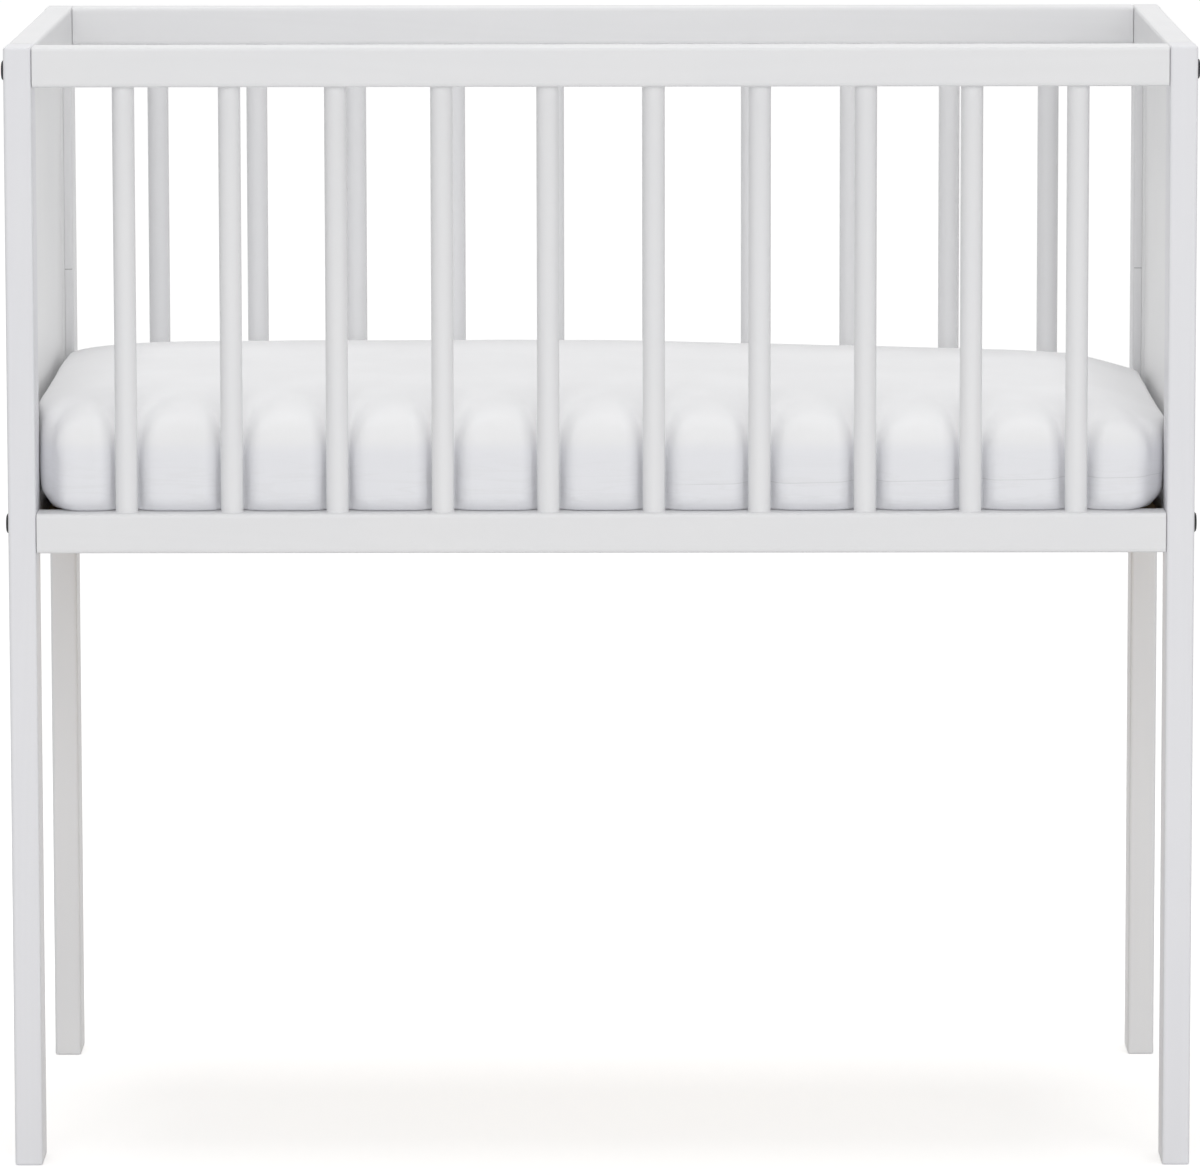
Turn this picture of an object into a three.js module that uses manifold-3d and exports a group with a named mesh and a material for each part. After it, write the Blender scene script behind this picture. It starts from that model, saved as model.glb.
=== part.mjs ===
// A slatted cradle on four fixed legs, with its mattress. Lengths are in millimetres, +Z is up,
// +X runs along the cradle, -Y is its front, and the origin lies on the floor under its middle.

import * as THREE from 'three';
import { mergeVertices } from 'three/addons/utils/BufferGeometryUtils.js';
import Module from 'manifold-3d';

const wasm = await Module();
wasm.setup();

// Overall size
const cradleLength = 850;
const cradleDepth = 460;
const cradleHeight = 810;

// Gap between pieces that touch, and the overrun of a cut past the face that it starts from
const jointGap = 0.3;
const cutOverrun = 1;

// Posts, from the floor to the top edge
const postThickness = 20;
const postDepth = 42;
const postArris = 2;
const postEndArris = 1.5;

// Rails: the four long ones, and the end rails, which are as high as they are
const railHeight = 28.5;
const railDepth = 30;
const railArris = 2.5;
const lowerRailTop = 475.5;

// Tenons of the end rails in the posts
const tenonThickness = 8;
const tenonShoulder = 5;
const tenonLengthShare = 0.4;

// End panels, with a tongue all round in grooves of the posts and the end rails
const panelThickness = 14;
const panelArris = 1.2;
const tongueThickness = 6;
const tongueLength = 8;

// Round slats, glued into blind sockets in the long rails
const slatsPerSide = 10;
const slatDiameter = 16;
const slatChamfer = 0.8;
const endSlatOffset = 64.35;
const socketDepth = 12;

// Connector bolts through the posts, with barrel nuts in the rails
const boltDiameter = 6;
const boltHeadDiameter = 14.3;
const boltHeadHeight = 2;
const boltHeadRim = 0.5;
const boltCrownDiameter = 8.6;
const boltTipChamfer = 0.8;
const hexKeySize = 4;
const hexKeyDepth = 1.3;
const nutDiameter = 10;
const nutLength = 12;
const nutSlotWidth = 1.4;
const nutSlotDepth = 1.2;
const nutSetback = 34;

// Locating pins beside the bolts, glued into the rail ends
const pinDiameter = 6;
const pinReach = 12;
const pinRoot = 10;

// Heights of the bolt and the pin below the top of their rail, as shares of the rail height
const upperBoltShare = 0.6;
const upperPinShare = 0.23;
const lowerBoltShare = 0.29;
const lowerPinShare = 0.67;

// Base: two battens on the lower rails, and cross slats that lie on them
const battenDepth = 18;
const battenHeight = 10;
const battenArris = 1;
const baseSlatCount = 6;
const baseSlatWidth = 85;
const baseSlatThickness = 8;
const baseSlatArris = 1.5;

// Mattress in its fitted sheet
const mattressRise = 86;
const mattressShoulder = 40;
const mattressCorner = 38;
const mattressEndSpace = 0.9;
const mattressSettle = 11;
const mattressBulge = 4;
const mattressGroove = 3.4;
const mattressGrooveReach = 13;

// Facets
const slatFacets = 16;
const boreFacets = 12;
const headFacets = 20;
const domeFacets = 3;
const arrisFacets = 2;
const cornerSteps = 3;
const endSteps = 4;
const hexSides = 6;

// Worked out from the sizes above
const clearLength = cradleLength - 2 * postThickness;
const clearDepth = cradleDepth - 2 * postDepth;
const topRailBottom = cradleHeight - railHeight;
const lowerRailBottom = lowerRailTop - railHeight;
const boltLine = railDepth / 2;
const boltBore = boltDiameter + 2 * jointGap;
const pinBore = pinDiameter + 2 * jointGap;
const nutBore = nutDiameter + 2 * jointGap;
const tenonLength = postDepth * tenonLengthShare;
const slatPitch = (clearLength - 2 * endSlatOffset) / (slatsPerSide - 1);
const boltLevels = [
  {
    name: 'upper',
    bolt: cradleHeight - railHeight * upperBoltShare,
    pin: cradleHeight - railHeight * upperPinShare,
  },
  {
    name: 'lower',
    bolt: lowerRailTop - railHeight * lowerBoltShare,
    pin: lowerRailTop - railHeight * lowerPinShare,
  },
];

// Finishes
const whitePaint = { color: 0xe7e7ea, roughness: 0.38, metalness: 0 };
const bareWood = { color: 0xd8bd92, roughness: 0.7, metalness: 0 };
const blackSteel = { color: 0x17171a, roughness: 0.42, metalness: 0.6 };
const zincSteel = { color: 0xb4b6b8, roughness: 0.35, metalness: 1 };
const whiteCotton = { color: 0xf4f5f8, roughness: 0.92, metalness: 0 };

const group = new THREE.Group();

// A named piece of the cradle with a material of its own
function piece(parent, name, geometry, finish) {
  const mesh = new THREE.Mesh(geometry, new THREE.MeshStandardMaterial(finish));
  mesh.name = name;
  parent.add(mesh);
  return mesh;
}

// Closed mesh to solid, with shared corners merged and the flat triangles at poles dropped
function solidOf(geometry) {
  const bare = geometry.clone();
  bare.deleteAttribute('normal');
  bare.deleteAttribute('uv');
  const merged = mergeVertices(bare);
  const corners = merged.index.array;
  const kept = [];
  for (let i = 0; i < corners.length; i += 3) {
    const [a, b, c] = corners.slice(i, i + 3);
    if (a !== b && b !== c && c !== a) kept.push(a, b, c);
  }
  const mesh = new wasm.Mesh({
    numProp: 3,
    vertProperties: new Float32Array(merged.attributes.position.array),
    triVerts: new Uint32Array(kept),
  });
  return new wasm.Manifold(mesh);
}

function geometryOf(solid) {
  const mesh = solid.getMesh();
  const geometry = new THREE.BufferGeometry();
  geometry.setAttribute('position', new THREE.BufferAttribute(mesh.vertProperties, 3));
  geometry.setIndex(new THREE.BufferAttribute(mesh.triVerts, 1));
  geometry.computeVertexNormals();
  return geometry;
}

// The first geometry with others joined to it and others cut out of it
function worked(geometry, joined, cuts) {
  let solid = solidOf(geometry);
  for (const other of joined) solid = solid.add(solidOf(other));
  for (const cut of cuts) solid = solid.subtract(solidOf(cut));
  return geometryOf(solid);
}

// Rectangle round the origin with rounded corners
function roundedRectangle(width, height, radius) {
  const points = [];
  for (let corner = 0; corner < 4; corner += 1) {
    const right = corner === 0 || corner === 3 ? 1 : -1;
    const up = corner < 2 ? 1 : -1;
    for (let step = 0; step <= arrisFacets; step += 1) {
      const angle = (corner + step / arrisFacets) * Math.PI / 2;
      points.push(new THREE.Vector2(
        right * (width / 2 - radius) + radius * Math.cos(angle),
        up * (height / 2 - radius) + radius * Math.sin(angle),
      ));
    }
  }
  return new THREE.Shape(points);
}

// Bar along +Z from the origin, with rounded long edges and, where wanted, rounded ends
function bar(width, height, length, arris, endArris = 0) {
  const shape = roundedRectangle(width, height, arris);
  const geometry = new THREE.ExtrudeGeometry(shape, {
    depth: length - 2 * endArris,
    bevelEnabled: endArris > 0,
    bevelThickness: endArris,
    bevelSize: endArris,
    bevelOffset: -endArris,
    bevelSegments: arrisFacets,
  });
  return geometry.translate(0, 0, endArris);
}

// Turns of a shape made along +Z: section X, Y goes to Y, Z or to Z, X
const turnToX = new THREE.Matrix4().makeBasis(
  new THREE.Vector3(0, 1, 0), new THREE.Vector3(0, 0, 1), new THREE.Vector3(1, 0, 0),
);
const turnToY = new THREE.Matrix4().makeBasis(
  new THREE.Vector3(0, 0, 1), new THREE.Vector3(1, 0, 0), new THREE.Vector3(0, 1, 0),
);

// Box between two opposite corners
function block(low, high) {
  const size = high.clone().sub(low);
  const centre = high.clone().add(low).divideScalar(2);
  return new THREE.BoxGeometry(size.x, size.y, size.z).translate(centre.x, centre.y, centre.z);
}

// Turned piece along +Z from a profile of radius and height pairs, lowest first
function turned(profile, facets) {
  const points = profile.map(([radius, height]) => new THREE.Vector2(radius, height));
  return new THREE.LatheGeometry(points, facets).rotateX(Math.PI / 2);
}

// Cylinder for a bore, along +Z between two heights
function bore(diameter, from, to, facets = boreFacets) {
  const radius = diameter / 2;
  return turned([[0, from], [radius, from], [radius, to], [0, to]], facets);
}

// A post, centred on its own middle in X and Y. Its outer Y face looks along outward, which is
// -1 or 1, and its inner X face looks along +X, where the long rails meet it.
function postGeometry(outward) {
  const outerFace = outward * postDepth / 2;
  const innerFace = -outerFace;
  const boltY = outerFace - outward * boltLine;
  const cuts = [];
  const slotHalf = tongueThickness / 2 + jointGap;
  const slotBottom = innerFace + outward * (tongueLength + jointGap);
  const slotMouth = innerFace - outward * cutOverrun;
  cuts.push(block(
    new THREE.Vector3(-slotHalf, Math.min(slotBottom, slotMouth), lowerRailTop - tongueLength - jointGap),
    new THREE.Vector3(slotHalf, Math.max(slotBottom, slotMouth), topRailBottom + tongueLength + jointGap),
  ));
  const mortiseHalf = tenonThickness / 2 + jointGap;
  const mortiseBottom = innerFace + outward * (tenonLength + jointGap);
  for (const [low, high] of [tenonSpan(topRailBottom, true), tenonSpan(lowerRailBottom, false)]) {
    cuts.push(block(
      new THREE.Vector3(-mortiseHalf, Math.min(mortiseBottom, slotMouth), low - jointGap),
      new THREE.Vector3(mortiseHalf, Math.max(mortiseBottom, slotMouth), high + jointGap),
    ));
  }
  const outerX = -postThickness / 2;
  const innerX = postThickness / 2;
  for (const level of boltLevels) {
    const boltHole = bore(boltBore, outerX - cutOverrun, innerX + cutOverrun).applyMatrix4(turnToX);
    cuts.push(boltHole.translate(0, boltY, level.bolt));
    const pinHole = bore(pinBore, innerX - pinReach - jointGap, innerX + cutOverrun).applyMatrix4(turnToX);
    cuts.push(pinHole.translate(0, boltY, level.pin));
  }
  return worked(bar(postThickness, postDepth, cradleHeight, postArris, postEndArris), [], cuts);
}

// Lowest and highest point of an end rail's tenon, clear of the groove along the rail
function tenonSpan(railBottom, grooveBelow) {
  const grooveSide = tongueLength + 3 * jointGap;
  const low = grooveBelow ? grooveSide : tenonShoulder;
  const high = grooveBelow ? railHeight - tenonShoulder : railHeight - grooveSide;
  return [railBottom + low, railBottom + high];
}

// An end rail along Y, with a tenon at each end and a groove for the panel below or above
function endRailGeometry(railBottom, grooveBelow) {
  const length = clearDepth - 2 * jointGap;
  const body = bar(railHeight, postThickness, length, railArris).applyMatrix4(turnToY);
  body.translate(0, -length / 2, railBottom + railHeight / 2);
  const [tenonLow, tenonHigh] = tenonSpan(railBottom, grooveBelow);
  const tenonEnd = clearDepth / 2 + tenonLength;
  const tenon = block(
    new THREE.Vector3(-tenonThickness / 2, -tenonEnd, tenonLow),
    new THREE.Vector3(tenonThickness / 2, tenonEnd, tenonHigh),
  );
  const grooveHalf = tongueThickness / 2 + jointGap;
  const grooveReach = tongueLength + jointGap;
  const grooveLow = grooveBelow ? railBottom - cutOverrun : railBottom + railHeight - grooveReach;
  const grooveHigh = grooveBelow ? railBottom + grooveReach : railBottom + railHeight + cutOverrun;
  const groove = block(
    new THREE.Vector3(-grooveHalf, -length / 2 - cutOverrun, grooveLow),
    new THREE.Vector3(grooveHalf, length / 2 + cutOverrun, grooveHigh),
  );
  return worked(body, [tenon], [groove]);
}

// An end panel: a board with softened edges, and the tongue that runs all round it
function endPanelGeometry() {
  const openingHeight = topRailBottom - lowerRailTop;
  const width = clearDepth - 2 * jointGap;
  const height = openingHeight - 2 * jointGap;
  const field = bar(width, height, panelThickness, panelArris, panelArris).applyMatrix4(turnToX);
  const middle = (topRailBottom + lowerRailTop) / 2;
  field.translate(-panelThickness / 2, 0, middle);
  const tongue = block(
    new THREE.Vector3(-tongueThickness / 2, -width / 2 - tongueLength, middle - height / 2 - tongueLength),
    new THREE.Vector3(tongueThickness / 2, width / 2 + tongueLength, middle + height / 2 + tongueLength),
  );
  return worked(field, [tongue], []);
}

// Places of the slats along a rail
function slatPlaces() {
  const first = -clearLength / 2 + endSlatOffset;
  return Array.from({ length: slatsPerSide }, (_, index) => first + index * slatPitch);
}

// A long rail along X with its front face on y = 0. Its slat sockets open upwards or downwards,
// a bolt bore runs in from each end, a nut bore comes up to it from the underside, where it does
// not show, and a locating pin stands out of each end.
function longRailGeometry(railTop, level, socketsUp) {
  const length = clearLength - 2 * jointGap;
  const railBottom = railTop - railHeight;
  const body = bar(railDepth, railHeight, length, railArris).applyMatrix4(turnToX);
  body.translate(-length / 2, railDepth / 2, railTop - railHeight / 2);
  const pins = [];
  const cuts = [];
  const socketMouth = socketsUp ? railTop + cutOverrun : railBottom - cutOverrun;
  const socketEnd = socketsUp ? railTop - socketDepth : railBottom + socketDepth;
  for (const x of slatPlaces()) {
    const from = Math.min(socketMouth, socketEnd);
    const to = Math.max(socketMouth, socketEnd);
    const socket = bore(slatDiameter + 2 * jointGap, from, to, slatFacets);
    cuts.push(socket.translate(x, railDepth / 2, 0));
  }
  const boltEnd = nutSetback + nutDiameter + jointGap;
  const nutBoreTop = level.bolt + nutLength / 2 + jointGap;
  for (const end of [-1, 1]) {
    const mouth = end * (clearLength / 2 + cutOverrun);
    const boltBottom = end * (clearLength / 2 - boltEnd);
    const boltHole = bore(boltBore, Math.min(mouth, boltBottom), Math.max(mouth, boltBottom));
    cuts.push(boltHole.applyMatrix4(turnToX).translate(0, boltLine, level.bolt));
    const nutHole = bore(nutBore, railBottom - cutOverrun, nutBoreTop);
    cuts.push(nutHole.translate(end * (clearLength / 2 - nutSetback), boltLine, 0));
    const tip = end * (clearLength / 2 + pinReach);
    const root = end * (clearLength / 2 - pinRoot);
    const pin = bore(pinDiameter, Math.min(tip, root), Math.max(tip, root)).applyMatrix4(turnToX);
    pins.push(pin.translate(0, boltLine, level.pin));
  }
  return worked(body, pins, cuts);
}

// A round slat along +Z with chamfered ends, from socket bottom to socket bottom
function slatGeometry() {
  const radius = slatDiameter / 2;
  const low = lowerRailTop - socketDepth + jointGap;
  const high = topRailBottom + socketDepth - jointGap;
  return turned([
    [0, low], [radius - slatChamfer, low], [radius, low + slatChamfer],
    [radius, high - slatChamfer], [radius - slatChamfer, high], [0, high],
  ], slatFacets);
}

// Profile of a bolt's head from its flat crown, round its dome, down to its rim
function headProfile() {
  const headRadius = boltHeadDiameter / 2;
  const crownRadius = boltCrownDiameter / 2;
  const profile = [[0, -boltHeadHeight]];
  for (let step = 0; step <= domeFacets; step += 1) {
    const angle = (1 - step / domeFacets) * Math.PI / 2;
    profile.push([
      crownRadius + (headRadius - crownRadius) * Math.cos(angle),
      -boltHeadRim - (boltHeadHeight - boltHeadRim) * Math.sin(angle),
    ]);
  }
  profile.push([headRadius, 0]);
  return profile;
}

// A connector bolt along +X. Its head's underside lies on x = 0 and its hex socket faces -X.
function boltGeometry() {
  const radius = boltDiameter / 2;
  const tip = postThickness + nutSetback + nutDiameter / 2;
  const body = turned([
    ...headProfile(), [radius, 0],
    [radius, tip - boltTipChamfer], [radius - boltTipChamfer, tip], [0, tip],
  ], headFacets);
  const acrossCorners = hexKeySize / Math.cos(Math.PI / hexSides);
  const keyMouth = -boltHeadHeight - cutOverrun;
  const key = bore(acrossCorners, keyMouth, -boltHeadHeight + hexKeyDepth, hexSides);
  return worked(body, [], [key]).applyMatrix4(turnToX);
}

// A barrel nut along Z round the origin, with its cross hole along X and its slot facing down
function nutGeometry() {
  const half = nutLength / 2;
  const body = bore(nutDiameter, -half, half);
  const hole = bore(boltBore, -nutDiameter, nutDiameter).applyMatrix4(turnToX);
  const slot = block(
    new THREE.Vector3(-nutDiameter, -nutSlotWidth / 2, -half - cutOverrun),
    new THREE.Vector3(nutDiameter, nutSlotWidth / 2, -half + nutSlotDepth),
  );
  return worked(body, [], [hole, slot]);
}

// One end: two posts, two rails and the panel. The left end stands as made, the right one turned
// half round, so its post on -Y comes to the rear.
function addEnd(side) {
  const end = new THREE.Group();
  const isLeft = side === 'left';
  end.position.x = (isLeft ? -1 : 1) * (cradleLength - postThickness) / 2;
  end.rotation.z = isLeft ? 0 : Math.PI;
  for (const outward of [-1, 1]) {
    const atFront = isLeft ? outward < 0 : outward > 0;
    const name = `post_${atFront ? 'front' : 'rear'}_${side}`;
    const post = piece(end, name, postGeometry(outward), whitePaint);
    post.position.y = outward * (cradleDepth - postDepth) / 2;
  }
  piece(end, `end_top_rail_${side}`, endRailGeometry(topRailBottom, true), whitePaint);
  piece(end, `end_bottom_rail_${side}`, endRailGeometry(lowerRailBottom, false), whitePaint);
  piece(end, `end_panel_${side}`, endPanelGeometry(), whitePaint);
  group.add(end);
}

// One long side with its fixings and its batten. The front stands as made, the rear turned half
// round, so what lies at -X in it comes to the right.
function addLongSide(side) {
  const frame = new THREE.Group();
  const isFront = side === 'front';
  frame.position.y = (isFront ? -1 : 1) * cradleDepth / 2;
  frame.rotation.z = isFront ? 0 : Math.PI;
  const [upper, lower] = boltLevels;
  piece(frame, `top_rail_${side}`, longRailGeometry(cradleHeight, upper, false), whitePaint);
  piece(frame, `lower_rail_${side}`, longRailGeometry(lowerRailTop, lower, true), whitePaint);
  const places = isFront ? slatPlaces() : slatPlaces().reverse();
  places.forEach((x, index) => {
    const number = String(index + 1).padStart(2, '0');
    const slat = piece(frame, `slat_${side}_${number}`, slatGeometry(), whitePaint);
    slat.position.set(x, railDepth / 2, 0);
  });
  for (const end of [-1, 1]) {
    const corner = `${side}_${(end < 0) === isFront ? 'left' : 'right'}`;
    for (const level of boltLevels) {
      const bolt = piece(frame, `bolt_${corner}_${level.name}`, boltGeometry(), blackSteel);
      bolt.position.set(end * (cradleLength / 2 + jointGap), boltLine, level.bolt);
      bolt.rotation.z = end < 0 ? 0 : Math.PI;
      const nut = piece(frame, `barrel_nut_${corner}_${level.name}`, nutGeometry(), zincSteel);
      nut.position.set(end * (clearLength / 2 - nutSetback), boltLine, level.bolt);
    }
  }
  const battenLength = clearLength - 2 * jointGap;
  const batten = bar(battenDepth, battenHeight, battenLength, battenArris).applyMatrix4(turnToX);
  const battenY = railDepth + jointGap + battenDepth / 2;
  batten.translate(-battenLength / 2, battenY, lowerRailBottom + battenHeight / 2);
  piece(frame, `base_batten_${side}`, batten, bareWood);
  group.add(frame);
}

// Cross slats of the base, from rail to rail on the battens, spaced under the mattress
const baseSlatBottom = lowerRailBottom + battenHeight + jointGap;
const mattressBottom = baseSlatBottom + baseSlatThickness + jointGap;
function addBaseSlats() {
  const length = cradleDepth - 2 * railDepth - 2 * jointGap;
  const pitch = (clearLength - 2 * jointGap - baseSlatWidth) / (baseSlatCount - 1);
  for (let index = 0; index < baseSlatCount; index += 1) {
    const slat = bar(baseSlatThickness, baseSlatWidth, length, baseSlatArris).applyMatrix4(turnToY);
    slat.translate(0, -length / 2, baseSlatBottom + baseSlatThickness / 2);
    const mesh = piece(group, `base_slat_${index + 1}`, slat, bareWood);
    mesh.position.x = (index - (baseSlatCount - 1) / 2) * pitch;
  }
}

// The mattress is built of level rings. The rings below the top of the lower rails lie between
// those rails, and the raised ones swell out to the slats, which press grooves into them. Their
// insets are shares of the shoulder, from the rail faces or the slats and from the ends. The
// rings of the crown are shares of the full width and length, with corners by their own width.
const sunkRingShares = [
  { rise: 0, side: 0.34, end: 0.6, full: 0, corner: 0.75 },
  { rise: 0.36, side: 0.09, end: 0.38, full: 0, corner: 0.9 },
  { rise: 0.96, side: 0.004, end: 0.3, full: 0, corner: 1 },
];
const raisedRingShares = [
  { rise: 0.085, side: 0.035, end: 0.24, full: 0.6, corner: 1 },
  { rise: 0.27, side: 0, end: 0.13, full: 1, corner: 1 },
  { rise: 0.47, side: 0.012, end: 0.03, full: 1, corner: 1 },
  { rise: 0.655, side: 0.14, end: 0.01, full: 0.75, corner: 1 },
  { rise: 0.8, side: 0.45, end: 0.03, full: 0.35, corner: 1 },
  { rise: 0.885, side: 1, end: 0.35, full: 0.08, corner: 1.1 },
];
const crownRingShares = [
  { rise: 0.955, width: 0.575, length: 0.886, corner: 0.42 },
  { rise: 1, width: 0.285, length: 0.703, corner: 0.8 },
];

// How much of the straight length between two corners the places along a side may fill
const stationReachShare = 0.995;

// Places along a long side of the mattress: beside, at and beyond each slat, and between slats
function mattressStations() {
  const stations = [];
  slatPlaces().forEach((x, index) => {
    if (index > 0) stations.push({ x: x - slatPitch / 2, press: mattressBulge });
    stations.push({ x: x - mattressGrooveReach, press: 0 });
    stations.push({ x, press: -mattressGroove });
    stations.push({ x: x + mattressGrooveReach, press: 0 });
  });
  return stations;
}

// One ring, counterclockwise from above: front side, right end, rear side, left end
function mattressRing(halfLength, halfWidth, corner, height, full) {
  const stations = mattressStations();
  const outermost = stations[stations.length - 1].x;
  const squeeze = Math.min(1, (halfLength - corner) * stationReachShare / outermost);
  const ring = [];
  for (const turn of [1, -1]) {
    for (const station of stations) {
      const y = -(halfWidth + station.press * full);
      ring.push(new THREE.Vector3(turn * station.x * squeeze, turn * y, height));
    }
    for (let quarter = 0; quarter < 2; quarter += 1) {
      const up = quarter === 0 ? -1 : 1;
      for (let step = 0; step <= cornerSteps; step += 1) {
        const angle = (quarter - 1 + step / cornerSteps) * Math.PI / 2;
        ring.push(new THREE.Vector3(
          turn * (halfLength - corner + corner * Math.cos(angle)),
          turn * (up * (halfWidth - corner) + corner * Math.sin(angle)),
          height,
        ));
      }
      if (quarter === 0) {
        for (let step = 1; step < endSteps; step += 1) {
          const y = (2 * step / endSteps - 1) * (halfWidth - corner);
          ring.push(new THREE.Vector3(turn * halfLength, turn * y, height));
        }
      }
    }
  }
  return ring;
}

// The right half of the mattress has settled, by more towards the end and towards the top
function settle(point) {
  const along = THREE.MathUtils.smoothstep(point.x, 0, clearLength / 2);
  const raised = (point.z - lowerRailTop) / mattressRise;
  point.z -= mattressSettle * along * raised;
}

function mattressGeometry() {
  const betweenRails = cradleDepth / 2 - railDepth - jointGap;
  const betweenSlats = cradleDepth / 2 - railDepth / 2 - slatDiameter / 2;
  const fullLength = clearLength / 2 - mattressEndSpace;
  const sunk = lowerRailTop - mattressBottom;
  const rings = [];
  for (const share of sunkRingShares) {
    rings.push(mattressRing(
      fullLength - share.end * mattressShoulder, betweenRails - share.side * mattressShoulder,
      share.corner * mattressCorner, mattressBottom + share.rise * sunk, share.full,
    ));
  }
  for (const share of raisedRingShares) {
    rings.push(mattressRing(
      fullLength - share.end * mattressShoulder, betweenSlats - share.side * mattressShoulder,
      share.corner * mattressCorner, lowerRailTop + share.rise * mattressRise, share.full,
    ));
  }
  for (const share of crownRingShares) {
    const halfWidth = betweenSlats * share.width;
    rings.push(mattressRing(
      fullLength * share.length, halfWidth, halfWidth * share.corner,
      lowerRailTop + share.rise * mattressRise, 0,
    ));
  }
  for (const ring of rings.slice(sunkRingShares.length)) {
    for (const point of ring) settle(point);
  }
  const count = rings[0].length;
  const corners = [];
  for (let level = 0; level + 1 < rings.length; level += 1) {
    for (let index = 0; index < count; index += 1) {
      const next = (index + 1) % count;
      const [a, b] = [level * count + index, level * count + next];
      corners.push(a, b, b + count, a, b + count, a + count);
    }
  }
  const topmost = rings.length - 1;
  corners.push(...cap(rings[0], 0, -1), ...cap(rings[topmost], topmost * count, 1));
  const geometry = new THREE.BufferGeometry();
  geometry.setFromPoints(rings.flat());
  geometry.setIndex(corners);
  geometry.computeVertexNormals();
  return geometry;
}

// Triangles that close a ring, facing up or down
function cap(ring, offset, facing) {
  const outline = ring.map((point) => new THREE.Vector2(point.x, point.y));
  const corners = [];
  for (const [a, b, c] of THREE.ShapeUtils.triangulateShape(outline, [])) {
    const turn = THREE.ShapeUtils.area([outline[a], outline[b], outline[c]]);
    if (turn * facing > 0) corners.push(a + offset, b + offset, c + offset);
    else corners.push(a + offset, c + offset, b + offset);
  }
  return corners;
}

addEnd('left');
addEnd('right');
addLongSide('front');
addLongSide('rear');
addBaseSlats();
piece(group, 'mattress', mattressGeometry(), whiteCotton);

export default group;
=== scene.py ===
"""A cradle of white painted wood, with slatted sides and a mattress in a fitted sheet.

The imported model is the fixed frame, and this script gives it its looks. Posts, rails and base keep
their solids under new finishes. End panels, slats, fixings and the mattress are modelled anew in the
places of their solids. Lengths are in metres, +Z is up, +X runs along the cradle and -Y is its front.
"""

import logging
import math
from collections.abc import Callable, Sequence
from dataclasses import dataclass
from enum import Enum
from itertools import pairwise

import bmesh
import bpy
import numpy as np
from mathutils import Matrix, Vector, noise


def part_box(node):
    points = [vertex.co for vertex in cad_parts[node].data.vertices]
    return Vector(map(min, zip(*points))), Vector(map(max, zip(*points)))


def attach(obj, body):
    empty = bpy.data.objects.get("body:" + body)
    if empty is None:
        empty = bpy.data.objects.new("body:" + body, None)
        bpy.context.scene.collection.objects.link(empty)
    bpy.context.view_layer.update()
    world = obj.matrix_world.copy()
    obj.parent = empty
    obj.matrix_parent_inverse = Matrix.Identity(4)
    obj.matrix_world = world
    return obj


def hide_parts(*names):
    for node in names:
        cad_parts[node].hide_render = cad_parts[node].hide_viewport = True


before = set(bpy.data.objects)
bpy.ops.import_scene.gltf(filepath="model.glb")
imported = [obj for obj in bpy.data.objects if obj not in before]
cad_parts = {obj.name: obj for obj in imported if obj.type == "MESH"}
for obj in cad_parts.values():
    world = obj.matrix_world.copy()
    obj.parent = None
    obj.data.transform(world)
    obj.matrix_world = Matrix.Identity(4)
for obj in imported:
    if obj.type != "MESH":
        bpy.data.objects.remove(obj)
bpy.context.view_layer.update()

LOG = logging.getLogger("cradle")
MM = 0.001
FRAME_BODY = "frame"

Socket = bpy.types.NodeSocket
Piece = bpy.types.Object
Colour = tuple[float, float, float]
Place = tuple[float, float, float]
Span = tuple[float, float]


class Axis(Enum):
    """The direction in which the grain of a wooden piece runs."""

    X = "x"
    Y = "y"
    Z = "z"

    @property
    def stretch(self) -> tuple[float, float, float]:
        """Scale of a pattern in each direction, drawn out along this axis."""
        along, across = 0.06, 1.0
        return tuple(along if self.value == letter else across for letter in "xyz")


def linear(hexadecimal: int) -> Colour:
    """Turns a display colour into the linear colour that shaders take.

    Args:
        hexadecimal: The colour as 0xrrggbb.

    Returns:
        Red, green and blue from 0 to 1, linear.
    """
    channels = [(hexadecimal >> shift & 0xFF) / 0xFF for shift in (16, 8, 0)]
    return tuple(c / 12.92 if c <= 0.04045 else ((c + 0.055) / 1.055) ** 2.4 for c in channels)


WHITE = (1.0, 1.0, 1.0, 1.0)
WHITE_PAINT = linear(0xE9E9EA)
# painted shade: a cooler, slightly darker copy of the white paint for the front posts, set to how
# light falls on them
FRONT_POST_SHADED_PAINT = linear(0xE8E8EB)
# painted light: a lighter copy of the white paint for the recessed end panels, which get less light
PANEL_LIT_PAINT = linear(0xEEEEEE)
PINE = linear(0xD9BC8D)
BLACK_STEEL = linear(0x1C1C1E)
ZINC = linear(0xB9BBBD)
WHITE_COTTON = linear(0xF2F2F3)
PAINT_ROUGHNESS = 0.42
PINE_ROUGHNESS = 0.68


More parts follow.
